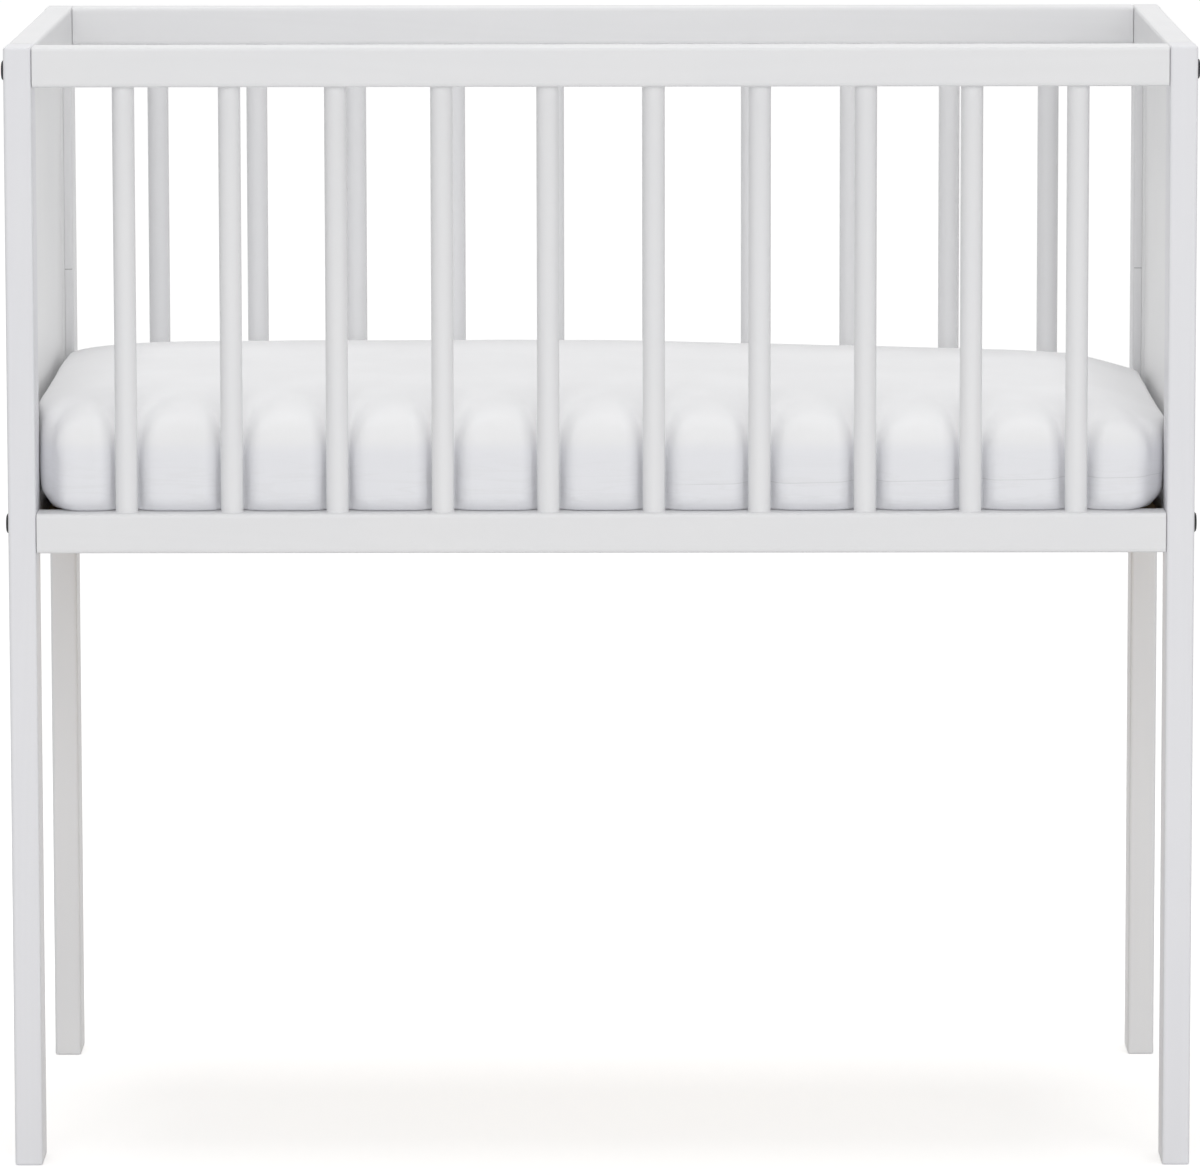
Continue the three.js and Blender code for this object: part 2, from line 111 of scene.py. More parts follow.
@dataclass
class Graph:
    """A node tree that is being drawn."""

    tree: bpy.types.NodeTree

    def feed(self, goal: Socket, value: Socket | float | tuple) -> None:
        """Links an output to an input, or sets the input to a constant value.

        Args:
            goal: The input.
            value: The output or the value.
        """
        if isinstance(value, Socket):
            self.tree.links.new(value, goal)
        else:
            goal.default_value = value

    def add(self, kind: str, inputs: dict | None = None, **settings) -> bpy.types.Node:
        """Adds one node.

        Args:
            kind: The node's type name.
            inputs: Sockets to link or values to set, by input name or number.
            **settings: Attributes of the node.

        Returns:
            The new node.
        """
        node = self.tree.nodes.new(kind)
        for name, value in settings.items():
            setattr(node, name, value)
        for key, value in (inputs or {}).items():
            self.feed(node.inputs[key], value)
        return node

    def math(self, operation: str, *values: Socket | float) -> Socket:
        """Adds a Math node over some values and returns its result."""
        return self.add("ShaderNodeMath", dict(enumerate(values)), operation=operation).outputs[0]

    def times(self, first: Socket, second: Socket | float) -> Socket:
        """The product of two values."""
        return self.math("MULTIPLY", first, second)

    def rest_of(self, share: Socket) -> Socket:
        """What a share leaves of 1."""
        return self.math("SUBTRACT", 1.0, share)

    def distance(self, first: Socket, second: Socket | float) -> Socket:
        """How far apart two values are."""
        return self.math("ABSOLUTE", self.math("SUBTRACT", first, second))

    def lowered(self, value: Socket, mask: Socket, depth: float) -> Socket:
        """A value, lowered by a depth where a mask is 1."""
        return self.math("SUBTRACT", value, self.times(mask, depth))

    def parts(self, place: Socket) -> list[Socket]:
        """The X, Y and Z of a vector."""
        return list(self.add("ShaderNodeSeparateXYZ", {0: place}).outputs)

    def stretched(self, place: Socket, scale: tuple[float, float, float]) -> Socket:
        """A vector with each direction scaled."""
        return self.add("ShaderNodeMapping", {"Vector": place, "Scale": scale}).outputs[0]

    def ramp(self, value: Socket, low: float, high: float) -> Socket:
        """Maps a value smoothly from 0 at one value to 1 at another.

        Args:
            value: The value.
            low: Where the result is 0.
            high: Where it is 1.

        Returns:
            The result.
        """
        inputs = {"Value": value, "From Min": low, "From Max": high}
        return self.add("ShaderNodeMapRange", inputs, interpolation_type="SMOOTHSTEP").outputs[0]

    def cloud(self, place: Socket, scale: Socket | float, detail: float, roughness: float = 0.5,
              distortion: Socket | float = 0.0) -> Socket:
        """A soft noise from 0 to 1.

        Args:
            place: Where it is read.
            scale: How close together its swells lie.
            detail: How many finer octaves it has.
            roughness: How strong those are.
            distortion: How much it is stirred.

        Returns:
            The noise.
        """
        return self.add("ShaderNodeTexNoise", {
            "Vector": place, "Scale": scale, "Detail": detail, "Roughness": roughness,
            "Distortion": distortion,
        }).outputs[0]

    def bump(self, height: Socket, strength: float, depth: float, **normal: Socket) -> Socket:
        """A normal that follows a relief.

        Args:
            height: The relief.
            strength: How strongly it shows.
            depth: How deep a height of 1 is.
            **normal: The normal to start from, as Normal, where it isn't the face's own.

        Returns:
            The normal.
        """
        inputs = {"Strength": strength, "Distance": depth, "Height": height, **normal}
        return self.add("ShaderNodeBump", inputs).outputs[0]

    def blend(self, share: Socket, first: Socket | Colour, second: Socket | Colour) -> Socket:
        """Mixes two colours.

        Args:
            share: How much of the second there is.
            first: The first colour.
            second: The second colour.

        Returns:
            The mix.
        """
        node = self.add("ShaderNodeMix", {"Factor": share}, data_type="RGBA")
        for name, colour in (("A", first), ("B", second)):
            socket = next(s for s in node.inputs if s.name == name and s.type == "RGBA")
            self.feed(socket, colour if isinstance(colour, Socket) else (*colour, 1.0))
        return next(s for s in node.outputs if s.type == "RGBA")

    def lay(self, mask: Socket, body: Socket, colour: Colour, strength: float) -> Socket:
        """Lays a colour thinly over a body where a mask is 1."""
        return self.blend(self.times(mask, strength), body, colour)


class Effect:
    """Shader node groups that several finishes share, each built once."""

    built: dict[str, bpy.types.NodeTree] = {}

    @classmethod
    def group(cls, name: str, values: Sequence[str], results: Sequence[str]) -> tuple:
        """Starts a group that takes a vector and some values.

        Args:
            name: The group's name.
            values: Names of its value inputs.
            results: Names of its outputs.

        Returns:
            The graph, the vector, the other inputs by name and the places for the outputs by name.
        """
        tree = bpy.data.node_groups.new(name, "ShaderNodeTree")
        tree.interface.new_socket("Vector", in_out="INPUT", socket_type="NodeSocketVector")
        for way, labels in (("INPUT", values), ("OUTPUT", results)):
            for label in labels:
                tree.interface.new_socket(label, in_out=way, socket_type="NodeSocketFloat")
        cls.built[name] = tree
        graph = Graph(tree)
        given = graph.add("NodeGroupInput").outputs
        return graph, given["Vector"], given, graph.add("NodeGroupOutput").inputs

    @classmethod
    def place(cls, graph: Graph, name: str, vector: Socket, **values: float) -> list[Socket]:
        """Places a group in a material, and builds it the first time.

        Args:
            graph: The material's graph.
            name: The group's name.
            vector: The coordinates that it reads.
            **values: Its other inputs, written with _ for a space in the name.

        Returns:
            Its outputs, in their order.
        """
        if name not in cls.built:
            getattr(cls, f"build_{name}")()
        inputs = {label.replace("_", " "): value for label, value in values.items()}
        inputs["Vector"] = vector
        return list(graph.add("ShaderNodeGroup", inputs, node_tree=cls.built[name]).outputs)

    @classmethod
    def build_mottle(cls) -> None:
        """Slow, soft change of tone over a surface."""
        graph, place, given, result = cls.group("mottle", ["Scale"], ["Tone"])
        cloud = graph.cloud(place, given["Scale"], detail=3.0, roughness=0.55)
        graph.feed(result["Tone"], graph.ramp(cloud, low=0.3, high=0.7))

    @classmethod
    def build_peel(cls) -> None:
        """The fine dimples of sprayed paint or of a plated skin."""
        graph, place, given, result = cls.group("peel", ["Scale"], ["Height"])
        inputs = {"Vector": place, "Scale": given["Scale"]}
        cells = graph.add("ShaderNodeTexVoronoi", inputs, feature="SMOOTH_F1").outputs["Distance"]
        cell_share = 0.5
        cloud = graph.cloud(place, given["Scale"], detail=2.0)
        graph.feed(result["Height"], graph.math("MULTIPLY_ADD", cells, cell_share, cloud))

    @classmethod
    def build_grain(cls) -> None:
        """Long grain of planed wood: fine fibres, and broad bands of early and late wood."""
        graph, place, given, result = cls.group(
            "grain", ["Fibre Scale", "Band Scale", "Waver"], ["Fibre", "Band"]
        )
        fibre = graph.cloud(place, given["Fibre Scale"], detail=5.0, roughness=0.65)
        swell = graph.cloud(place, given["Band Scale"], detail=1.0, distortion=given["Waver"])
        bands_per_swell, half_band = 9.0, 0.5
        saw = graph.math("PINGPONG", graph.times(swell, bands_per_swell), half_band)
        graph.feed(result["Fibre"], fibre)
        graph.feed(result["Band"], graph.times(saw, 1.0 / half_band))

    @classmethod
    def build_edge(cls) -> None:
        """A mask that is 1 on the arrises, broken up by a fine cloud."""
        graph, place, given, result = cls.group("edge", ["Radius"], ["Mask"])
        rounded = graph.add("ShaderNodeBevel", {"Radius": given["Radius"]}, samples=4)
        surface = graph.add("ShaderNodeNewGeometry")
        facing = graph.add("ShaderNodeVectorMath", {
            0: rounded.outputs[0], 1: surface.outputs["Normal"],
        }, operation="DOT_PRODUCT")
        cloud = graph.cloud(place, scale=90.0, detail=3.0)
        broken = graph.times(
            graph.rest_of(facing.outputs["Value"]), graph.ramp(cloud, low=0.35, high=0.65)
        )
        graph.feed(result["Mask"], graph.ramp(broken, low=0.01, high=0.16))

    @classmethod
    def build_weave(cls) -> None:
        """A plain weave: crossing threads that go over and under each other."""
        graph, place, given, result = cls.group("weave", ["Threads"], ["Height", "Slub"])
        wobble, crossing_height = 3.0, 0.35
        shift = graph.times(graph.cloud(place, scale=60.0, detail=2.0), wobble)
        scaled = graph.add("ShaderNodeVectorMath", {
            0: place, "Scale": given["Threads"],
        }, operation="SCALE")
        across, along = (
            graph.math("SINE", graph.math("ADD", part, shift))
            for part in graph.parts(scaled.outputs["Vector"])[:2]
        )
        ribs = graph.math("MAXIMUM", graph.math("ABSOLUTE", across), graph.math("ABSOLUTE", along))
        height = graph.math("MULTIPLY_ADD", graph.times(across, along), crossing_height, ribs)
        graph.feed(result["Height"], height)
        graph.feed(result["Slub"], graph.cloud(place, scale=240.0, detail=3.0, roughness=0.7))

    @classmethod
    def build_wrinkle(cls) -> None:
        """Hairline wrinkles that run level along a cloth."""
        graph, place, given, result = cls.group("wrinkle", ["Scale"], ["Height"])
        drawn = graph.stretched(place, (0.09, 0.2, 1.0))
        cloud = graph.cloud(drawn, given["Scale"], detail=2.0, distortion=0.6)
        middle, half_width = 0.5, 0.06
        away = graph.distance(cloud, middle)
        graph.feed(result["Height"], graph.rest_of(graph.ramp(away, 0.0, half_width)))


@dataclass(frozen=True)
class Finish:
    """What all finishes have: a name, a slot name, a colour and a roughness."""

    name: str
    slot: str
    colour: Colour
    roughness: float

    def draw(self, graph: Graph, place: Socket) -> dict[str, Socket | float]:
        """Draws the surface; each finish has its own way."""
        raise NotImplementedError

    def toned(self, factor: float | Colour) -> Colour:
        """The colour times a factor, or one for each channel, but no brighter than white."""
        factors = factor if isinstance(factor, tuple) else (factor,) * 3
        return tuple(min(1.0, channel * k) for channel, k in zip(self.colour, factors))

    def shine(self, graph: Graph, share: Socket, swing: float, drop: float = 0.0) -> Socket:
        """The roughness less a drop, with a swing added where a share is 1."""
        return graph.math("MULTIPLY_ADD", share, swing, self.roughness - drop)

    def build(self) -> bpy.types.Material:
        """Builds the material.

        Returns:
            The material.
        """
        material = bpy.data.materials.new(self.name)
        material.use_nodes = True
        graph = Graph(material.node_tree)
        sockets = material.node_tree.nodes["Principled BSDF"].inputs
        even = {"Base Color": (*self.colour, 1.0), "Roughness": self.roughness}
        drawn = self.draw(graph, graph.add("ShaderNodeTexCoord").outputs["Object"])
        for name, value in (*even.items(), *drawn.items()):
            graph.feed(sockets[name], value)
        return material


@dataclass(frozen=True)
class Crack:
    """A fine level line in the paint, the same at the left and at the right.

    Attributes:
        level: Its height.
        across: Where it starts and ends, as distances from the middle of the cradle.
        along: Between which depths the paint has it.
        half_width: Half of its width.
        depth: How deep it is in the relief.
    """

    level: float
    across: Span
    along: Span
    half_width: float = 0.45 * MM
    depth: float = 2.0

    def mask(self, graph: Graph, place: Socket) -> Socket:
        """A mask that is 1 on the line.

        Args:
            graph: The material's graph.
            place: The object's coordinates.

        Returns:
            The mask.
        """
        x, y, z = graph.parts(place)
        share = graph.rest_of(graph.ramp(graph.distance(z, self.level), 0.0, self.half_width))
        for value, (low, high) in ((graph.math("ABSOLUTE", x), self.across), (y, self.along)):
            share = graph.times(share, graph.math("GREATER_THAN", value, low))
            share = graph.times(share, graph.math("LESS_THAN", value, high))
        return share


@dataclass(frozen=True)
class PaintedWood(Finish):
    """White satin paint on planed and sanded wood, with a breath of the grain showing."""

    axis: Axis = Axis.X
    crack: Crack | None = None
    softening: float = 1.2 * MM
    specular: float = 0.17
    cool: Colour = (0.985, 0.987, 0.992)
    fibre_relief: float = 0.5
    peel_relief: float = 0.5
    edge_shine: float = 0.06

    def draw(self, graph: Graph, place: Socket) -> dict[str, Socket | float]:
        """Draws the surface.

        Args:
            graph: The material's graph.
            place: The object's coordinates.

        Returns:
            What feeds the shader, by the name of its socket.
        """
        fibre, band = Effect.place(
            graph, "grain", graph.stretched(place, self.axis.stretch),
            Fibre_Scale=420.0, Band_Scale=24.0, Waver=0.4,
        )
        (peel,) = Effect.place(graph, "peel", place, Scale=520.0)
        (tone,) = Effect.place(graph, "mottle", place, Scale=7.0)
        (edge,) = Effect.place(graph, "edge", place, Radius=self.softening)
        colour = graph.blend(tone, self.colour, self.toned(self.cool))
        colour = graph.lay(band, colour, self.toned(0.93), strength=0.12)
        colour = graph.lay(edge, colour, self.toned(1.06), strength=0.25)
        relief = graph.math(
            "MULTIPLY_ADD", peel, self.peel_relief, graph.times(fibre, self.fibre_relief)
        )
        if self.crack:
            crack = self.crack.mask(graph, place)
            colour = graph.lay(crack, colour, self.toned(0.3), strength=0.9)
            relief = graph.lowered(relief, crack, self.crack.depth)
        shine = self.shine(graph, tone, swing=0.06, drop=0.03)
        soft = graph.add("ShaderNodeBevel", {"Radius": self.softening}, samples=6).outputs[0]
        return {
            "Base Color": colour,
            "Roughness": graph.lowered(shine, edge, self.edge_shine),
            "Normal": graph.bump(relief, strength=0.35, depth=0.12 * MM, Normal=soft),
            "Specular IOR Level": self.specular,
        }


@dataclass(frozen=True)
class BareWood(Finish):
    """Planed softwood without a finish."""

    axis: Axis = Axis.X
    late_wood: Colour = (0.43, 0.25, 0.105)
    arris: float = 1.0 * MM
    late_relief: float = 0.4

    def draw(self, graph: Graph, place: Socket) -> dict[str, Socket | float]:
        """Draws the surface.

        Args:
            graph: The material's graph.
            place: The object's coordinates.

        Returns:
            What feeds the shader, by the name of its socket.
        """
        fibre, band = Effect.place(
            graph, "grain", graph.stretched(place, self.axis.stretch),
            Fibre_Scale=330.0, Band_Scale=16.0, Waver=0.9,
        )
        (tone,) = Effect.place(graph, "mottle", place, Scale=5.0)
        (edge,) = Effect.place(graph, "edge", place, Radius=self.arris)
        late = graph.ramp(band, low=0.45, high=1.0)
        colour = graph.blend(tone, self.colour, self.toned(0.9))
        colour = graph.lay(late, colour, self.late_wood, strength=0.55)
        colour = graph.lay(fibre, colour, self.toned(0.7), strength=0.25)
        colour = graph.lay(edge, colour, self.toned(1.15), strength=0.4)
        relief = graph.math("MULTIPLY_ADD", late, self.late_relief, fibre)
        return {
            "Base Color": colour,
            "Roughness": self.shine(graph, late, swing=-0.12),
            "Normal": graph.bump(relief, strength=0.5, depth=0.25 * MM),
        }


@dataclass(frozen=True)
class Steel(Finish):
    """Steel with a thin skin, blackened or zinc plated, and rubbed bright on its edges."""

    metallic: float = 1.0
    bright: Colour = (0.55, 0.55, 0.56)
    rubbed: float = 0.3
    arris: float = 0.3 * MM

    def draw(self, graph: Graph, place: Socket) -> dict[str, Socket | float]:
        """Draws the surface.

        Args:
            graph: The material's graph.
            place: The object's coordinates.

        Returns:
            What feeds the shader, by the name of its socket.
        """
        (peel,) = Effect.place(graph, "peel", place, Scale=1800.0)
        (tone,) = Effect.place(graph, "mottle", place, Scale=300.0)
        (edge,) = Effect.place(graph, "edge", place, Radius=self.arris)
        colour = graph.blend(tone, self.colour, self.toned(1.5))
        return {
            "Base Color": graph.lay(edge, colour, self.bright, self.rubbed),
            "Roughness": self.shine(graph, tone, swing=0.12, drop=0.06),
            "Normal": graph.bump(peel, strength=0.4, depth=0.03 * MM),
            "Metallic": self.metallic,
        }


@dataclass(frozen=True)
class Hem:
    """The stitched line of the sheet's hem, which shows on the front.

    Attributes:
        level: Its height amid the cradle.
        fall: How much it rises for each metre to the right.
        start: Where it begins, along the cradle, and fade how far it takes to show in full.
        half_width: Half of its width.
        waver: How far it wanders up and down.
        depth: How deep it lies in the relief.
    """

    level: float
    fall: float
    start: float
    fade: float = 30 * MM
    half_width: float = 0.5 * MM
    waver: float = 2.0 * MM
    depth: float = 2.5

    def mask(self, graph: Graph, place: Socket) -> Socket:
        """A mask that is 1 on the line.

        Args:
            graph: The material's graph.
            place: The object's coordinates.

        Returns:
            The mask.
        """
        x, y, z = graph.parts(place)
        cloud = graph.cloud(place, scale=9.0, detail=1.0)
        lifted = graph.math("MULTIPLY_ADD", cloud, self.waver, self.level - self.waver / 2)
        line = graph.math("MULTIPLY_ADD", x, self.fall, lifted)
        near = graph.rest_of(graph.ramp(graph.distance(z, line), 0.0, self.half_width))
        begun = graph.ramp(x, self.start, self.start + self.fade)
        return graph.times(near, graph.times(begun, graph.math("LESS_THAN", y, 0.0)))


@dataclass(frozen=True)
class Cotton(Finish):
    """White cotton cloth, closely woven, that reads the piece's own UV map in metres.

    Attributes:
        hem: The line of its hem.
        threads: How close the threads lie.
        shade: Painted shade on its lower part: a darker, bluer tone, full under the first height of
        shaded and gone above the second.
        wrinkled: The heights between which its wrinkles fade out.
    """

    hem: Hem
    threads: float = 7400.0
    # painted shade on the lower part of the sheet: its tone, and the heights over which it fades out
    shade: Colour = (0.94, 0.945, 0.97)
    shaded: Span = (0.516, 0.53)
    wrinkled: Span = (0.49, 0.53)
    wrinkle_depth: float = 0.9
    slub_relief: float = 0.8
    sheen: float = 0.08
    sheen_roughness: float = 0.5
    specular: float = 0.2

    def draw(self, graph: Graph, place: Socket) -> dict[str, Socket | float]:
        """Draws the surface.

        Args:
            graph: The material's graph.
            place: The object's coordinates.

        Returns:
            What feeds the shader, by the name of its socket.
        """
        flat = graph.add("ShaderNodeTexCoord").outputs["UV"]
        height, slub = Effect.place(graph, "weave", flat, Threads=self.threads)
        (tone,) = Effect.place(graph, "mottle", place, Scale=11.0)
        (wrinkle,) = Effect.place(graph, "wrinkle", place, Scale=130.0)
        level = graph.parts(place)[2]
        # the first mask is painted shade on the lower part of the sheet; the second fades the
        # wrinkles out
        low, lowest = (
            graph.rest_of(graph.ramp(level, *span)) for span in (self.shaded, self.wrinkled)
        )
        wrinkle = graph.times(wrinkle, lowest)
        hem = self.hem.mask(graph, place)
        colour = graph.blend(tone, self.colour, self.toned(0.975))
        # painted shade: the lower part of the sheet turns darker and bluer, as if in shade
        colour = graph.blend(low, colour, self.toned(self.shade))
        colour = graph.lay(slub, colour, self.toned(0.9), strength=0.12)
        # painted shade: the wrinkles' lines are darkened as if they lay in shadow, besides their
        # relief
        colour = graph.lay(wrinkle, colour, self.toned(0.82), strength=0.16)
        colour = graph.lay(hem, colour, self.toned(0.55), strength=0.35)
        relief = graph.math("MULTIPLY_ADD", slub, self.slub_relief, height)
        relief = graph.lowered(relief, wrinkle, self.wrinkle_depth)
        relief = graph.lowered(relief, hem, self.hem.depth)
        return {
            "Base Color": colour,
            "Roughness": self.shine(graph, tone, swing=0.05, drop=0.03),
            "Normal": graph.bump(relief, strength=0.35, depth=0.15 * MM),
            "Sheen Weight": self.sheen, "Sheen Roughness": self.sheen_roughness,
            "Specular IOR Level": self.specular,
        }


def take(piece: Piece) -> None:
    """Makes a piece the active one and the only one selected.

    Args:
        piece: The piece.
    """
    bpy.ops.object.select_all(action="DESELECT")
    piece.select_set(True)
    bpy.context.view_layer.objects.active = piece


def added(operator: Callable, **settings) -> Piece:
    """Adds a primitive while nothing else is selected.

    Args:
        operator: The operator that adds it.
        **settings: Its size and place.

    Returns:
        The new piece.
    """
    bpy.ops.object.select_all(action="DESELECT")
    operator(**settings)
    return bpy.context.object


def edit(piece: Piece) -> None:
    """Opens a piece in edit mode, with nothing else selected."""
    take(piece)
    bpy.ops.object.mode_set(mode="EDIT")


def close(piece: Piece) -> None:
    """Merges doubles, turns the faces outwards and leaves edit mode.

    Args:
        piece: The piece, in edit mode.
    """
    bpy.ops.mesh.select_all(action="SELECT")
    bpy.ops.mesh.remove_doubles(threshold=0.001 * MM)
    bpy.ops.mesh.normals_make_consistent(inside=False)
    bpy.ops.object.mode_set(mode="OBJECT")
    piece.select_set(True)


def apply_modifier(piece: Piece, kind: str, **settings) -> None:
    """Adds a modifier with its settings and applies it.

    Args:
        piece: The piece that is worked.
        kind: The modifier's type.
        **settings: Its attributes.
    """
    take(piece)
    bpy.ops.object.modifier_add(type=kind)
    modifier = piece.modifiers[-1]
    for name, value in settings.items():
        setattr(modifier, name, value)
    bpy.ops.object.modifier_apply(modifier=modifier.name)


def cut(piece: Piece, cutter: Piece) -> None:
    """Cuts one closed piece with another, which is then removed."""
    apply_modifier(piece, "BOOLEAN", operation="DIFFERENCE", object=cutter, solver="EXACT")
    bpy.data.objects.remove(cutter)


def smooth(piece: Piece, angle: float = 35.0) -> None:
    """Shades a piece smooth, with edges that turn more than an angle in degrees left sharp."""
    take(piece)
    bpy.ops.object.shade_smooth_by_angle(angle=math.radians(angle))


def soften(piece: Piece, width: float, angle: float) -> None:
    """Rounds the edges that turn more than an angle in degrees, and shades the piece smooth.

    Args:
        piece: The piece.
        width: How far the rounding reaches.
        angle: The angle.
    """
    apply_modifier(
        piece, "BEVEL", width=width, segments=2, limit_method="ANGLE", angle_limit=math.radians(angle)
    )
    smooth(piece)


def settle_place(piece: Piece, place: Matrix | None = None) -> None:
    """Puts a piece's place into its mesh, so that its object sits at the origin.

    Args:
        piece: The piece.
        place: A further move, made after the piece's own.
    """
    bpy.context.view_layer.update()
    piece.data.transform((place or Matrix.Identity(4)) @ piece.matrix_world)
    piece.matrix_world = Matrix.Identity(4)


def turned(name: str, profile: Sequence[Span], segments: int) -> Piece:
    """Makes a turned piece along +Z, drawn out of a filled circle ring by ring.

    Args:
        name: The piece's name.
        profile: Radius and height of each ring, lowest first.
        segments: How many corners a ring has.

    Returns:
        The piece, closed, with its axis on the origin's Z.
    """
    radius, height = profile[0]
    piece = added(
        bpy.ops.mesh.primitive_circle_add, vertices=segments, radius=radius, fill_type="NGON",
        location=(0.0, 0.0, height),
    )
    piece.name = name
    edit(piece)
    bpy.ops.mesh.select_all(action="SELECT")
    for (radius, height), (next_radius, next_height) in pairwise(profile):
        rise = {"value": (0.0, 0.0, next_height - height)}
        bpy.ops.mesh.extrude_region_move(TRANSFORM_OT_translate=rise)
        scale = next_radius / radius
        bpy.ops.transform.resize(
            value=(scale, scale, 1.0), center_override=(0.0, 0.0, next_height)
        )
    close(piece)
    settle_place(piece)
    return piece


def copy_of(piece: Piece, name: str, place: Matrix) -> Piece:
    """A copy with a mesh of its own.

    Args:
        piece: The piece to copy.
        name: The copy's name.
        place: Where the copy goes, from the first piece's place.

    Returns:
        The copy.
    """
    twin = piece.copy()
    twin.data = piece.data.copy()
    twin.name = twin.data.name = name
    bpy.context.collection.objects.link(twin)
    settle_place(twin, place)
    return twin


def dress(piece: Piece, material: bpy.types.Material) -> None:
    """Gives a new piece its material."""
    piece.data.materials.clear()
    piece.data.materials.append(material)


def hand_over(piece: Piece, node: str, body: str) -> None:
    """Sets a new piece in the place of its solid.

    Args:
        piece: The finished piece.
        node: The solid that it stands for.
        body: The body that it moves with.
    """
    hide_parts(node)
    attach(piece, body)


def named(start: str) -> list[str]:
    """The solids whose names have a start in common, in order."""
    return sorted(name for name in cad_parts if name.startswith(start))


def spread(model: Piece, kind: str, finish: Finish, places: dict[str, Matrix]) -> None:
    """Sets copies of a model in the places of solids of the frame, and removes the model.

    Args:
        model: The model.
        kind: A word for its kind, with which the copies' names start.
        finish: Its finish.
        places: Where each copy goes, by the solid that it stands for.
    """
    dress(model, finish.build())
    for node, place in places.items():
        hand_over(copy_of(model, f"{kind}_{node}", place), node, FRAME_BODY)
    bpy.data.objects.remove(model)


@dataclass
class Woodwork:
    """The posts, rails and base, which keep their solids under new finishes."""

    crack: Crack = Crack(level=611 * MM, across=(405.8 * MM, 413 * MM), along=(187 * MM, 188.6 * MM))

    @staticmethod
    def painted(name: str, axis: Axis, colour: Colour = WHITE_PAINT,
                crack: Crack | None = None) -> bpy.types.Material:
        """White paint on wood whose grain runs along an axis."""
        return PaintedWood(name, "white_paint", colour, PAINT_ROUGHNESS, axis, crack).build()

    @staticmethod
    def bare(name: str, axis: Axis) -> bpy.types.Material:
        """Bare pine whose grain runs along an axis."""
        return BareWood(name, "bare_pine", PINE, PINE_ROUGHNESS, axis).build()

    def clothe(self) -> None:
        """Gives each solid of the woodwork its finish."""
        lengthways = self.painted("paint_lengthways", Axis.X)
        crossways = self.painted("paint_crossways", Axis.Y)
        by_start = {
            # the front posts' cooler, darker paint is painted shade
            "post_front_": self.painted("paint_upright_shaded", Axis.Z, FRONT_POST_SHADED_PAINT),
            "post_rear_": self.painted("paint_rear_upright", Axis.Z, crack=self.crack),
            "top_rail_": lengthways, "lower_rail_": lengthways,
            "end_top_rail_": crossways, "end_bottom_rail_": crossways,
            "base_batten_": self.bare("pine_lengthways", Axis.X),
            "base_slat_": self.bare("pine_crossways", Axis.Y),
        }
        for start, material in by_start.items():
            for name in named(start):
                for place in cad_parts[name].material_slots:
                    place.link = "OBJECT"
                    place.material = material
        LOG.info("woodwork clothed in %d finishes", len(set(by_start.values())))


@dataclass
class EndPanels:
    """The boards that close the two ends, set well back from the faces that look inwards."""

    setback: float = 8.5 * MM
    tongue: float = 8 * MM
    tongue_thickness: float = 6 * MM
    bead: float = 2.4 * MM
    bead_height: float = 2.2 * MM
    softening: float = 0.3 * MM

    @staticmethod
    def pick(piece: Piece, way: float) -> None:
        """Selects only the face that lies furthest along X, or against it.

        Args:
            piece: The piece, in edit mode.
            way: 1 for along X, -1 for against it.
        """
        bpy.ops.mesh.select_all(action="DESELECT")
        faces = bmesh.from_edit_mesh(piece.data).faces
        max(faces, key=lambda face: face.calc_center_median().x * way).select_set(True)
        bmesh.update_edit_mesh(piece.data)

    def draw_out(self, piece: Piece, way: float, reach: float) -> None:
        """Insets the outermost face on one side by the tongue and draws the inner part along X.

        Args:
            piece: The panel, in edit mode.
            way: 1 for the side that looks along X, -1 for the other.
            reach: How far the inner part moves, along X.
        """
        self.pick(piece, way)
        bpy.ops.mesh.inset(thickness=self.tongue, depth=0.0)
        bpy.ops.mesh.extrude_region_move(TRANSFORM_OT_translate={"value": (reach, 0.0, 0.0)})

    def panel(self, node: str, post: str, way: float) -> Piece:
        """One panel: a plate as thick as the tongue, with a field drawn out of each side.

        A bead runs round the inner field, where paint and filler close the groove.

        Args:
            node: The solid that it stands for.
            post: A post of its end.
            way: The way outwards along X, -1 at the left end and 1 at the right.

        Returns:
            The panel.
        """
        low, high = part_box(node)
        inner_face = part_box(post)[0 if way > 0 else 1].x
        middle = (low + high) / 2
        piece = added(bpy.ops.mesh.primitive_cube_add, size=1.0, location=middle)
        piece.name = f"recessed_{node}"
        piece.scale = (self.tongue_thickness, high.y - low.y, high.z - low.z)
        settle_place(piece)
        edit(piece)
        self.draw_out(piece, way, way * (high.x - low.x - self.tongue_thickness) / 2)
        plate_face = middle.x - way * self.tongue_thickness / 2
        bead_top = inner_face + way * (self.setback - self.bead_height)
        self.draw_out(piece, -way, bead_top - plate_face)
        bpy.ops.mesh.inset(thickness=self.bead, depth=0.0)
        bpy.ops.transform.translate(value=(way * self.bead_height, 0.0, 0.0))
        close(piece)
        soften(piece, self.softening, angle=30.0)
        return piece

    def build(self) -> None:
        """Makes both panels and sets them in the places of their solids."""
        # the panels' lighter paint is painted light on their recessed faces
        finish = PaintedWood("paint_panel_lit", "white_paint", PANEL_LIT_PAINT, PAINT_ROUGHNESS, Axis.Z)
        material = finish.build()
        for side, way in (("left", -1.0), ("right", 1.0)):
            node = f"end_panel_{side}"
            piece = self.panel(node, f"post_rear_{side}", way)
            dress(piece, material)
            hand_over(piece, node, FRAME_BODY)
        LOG.info("two end panels")


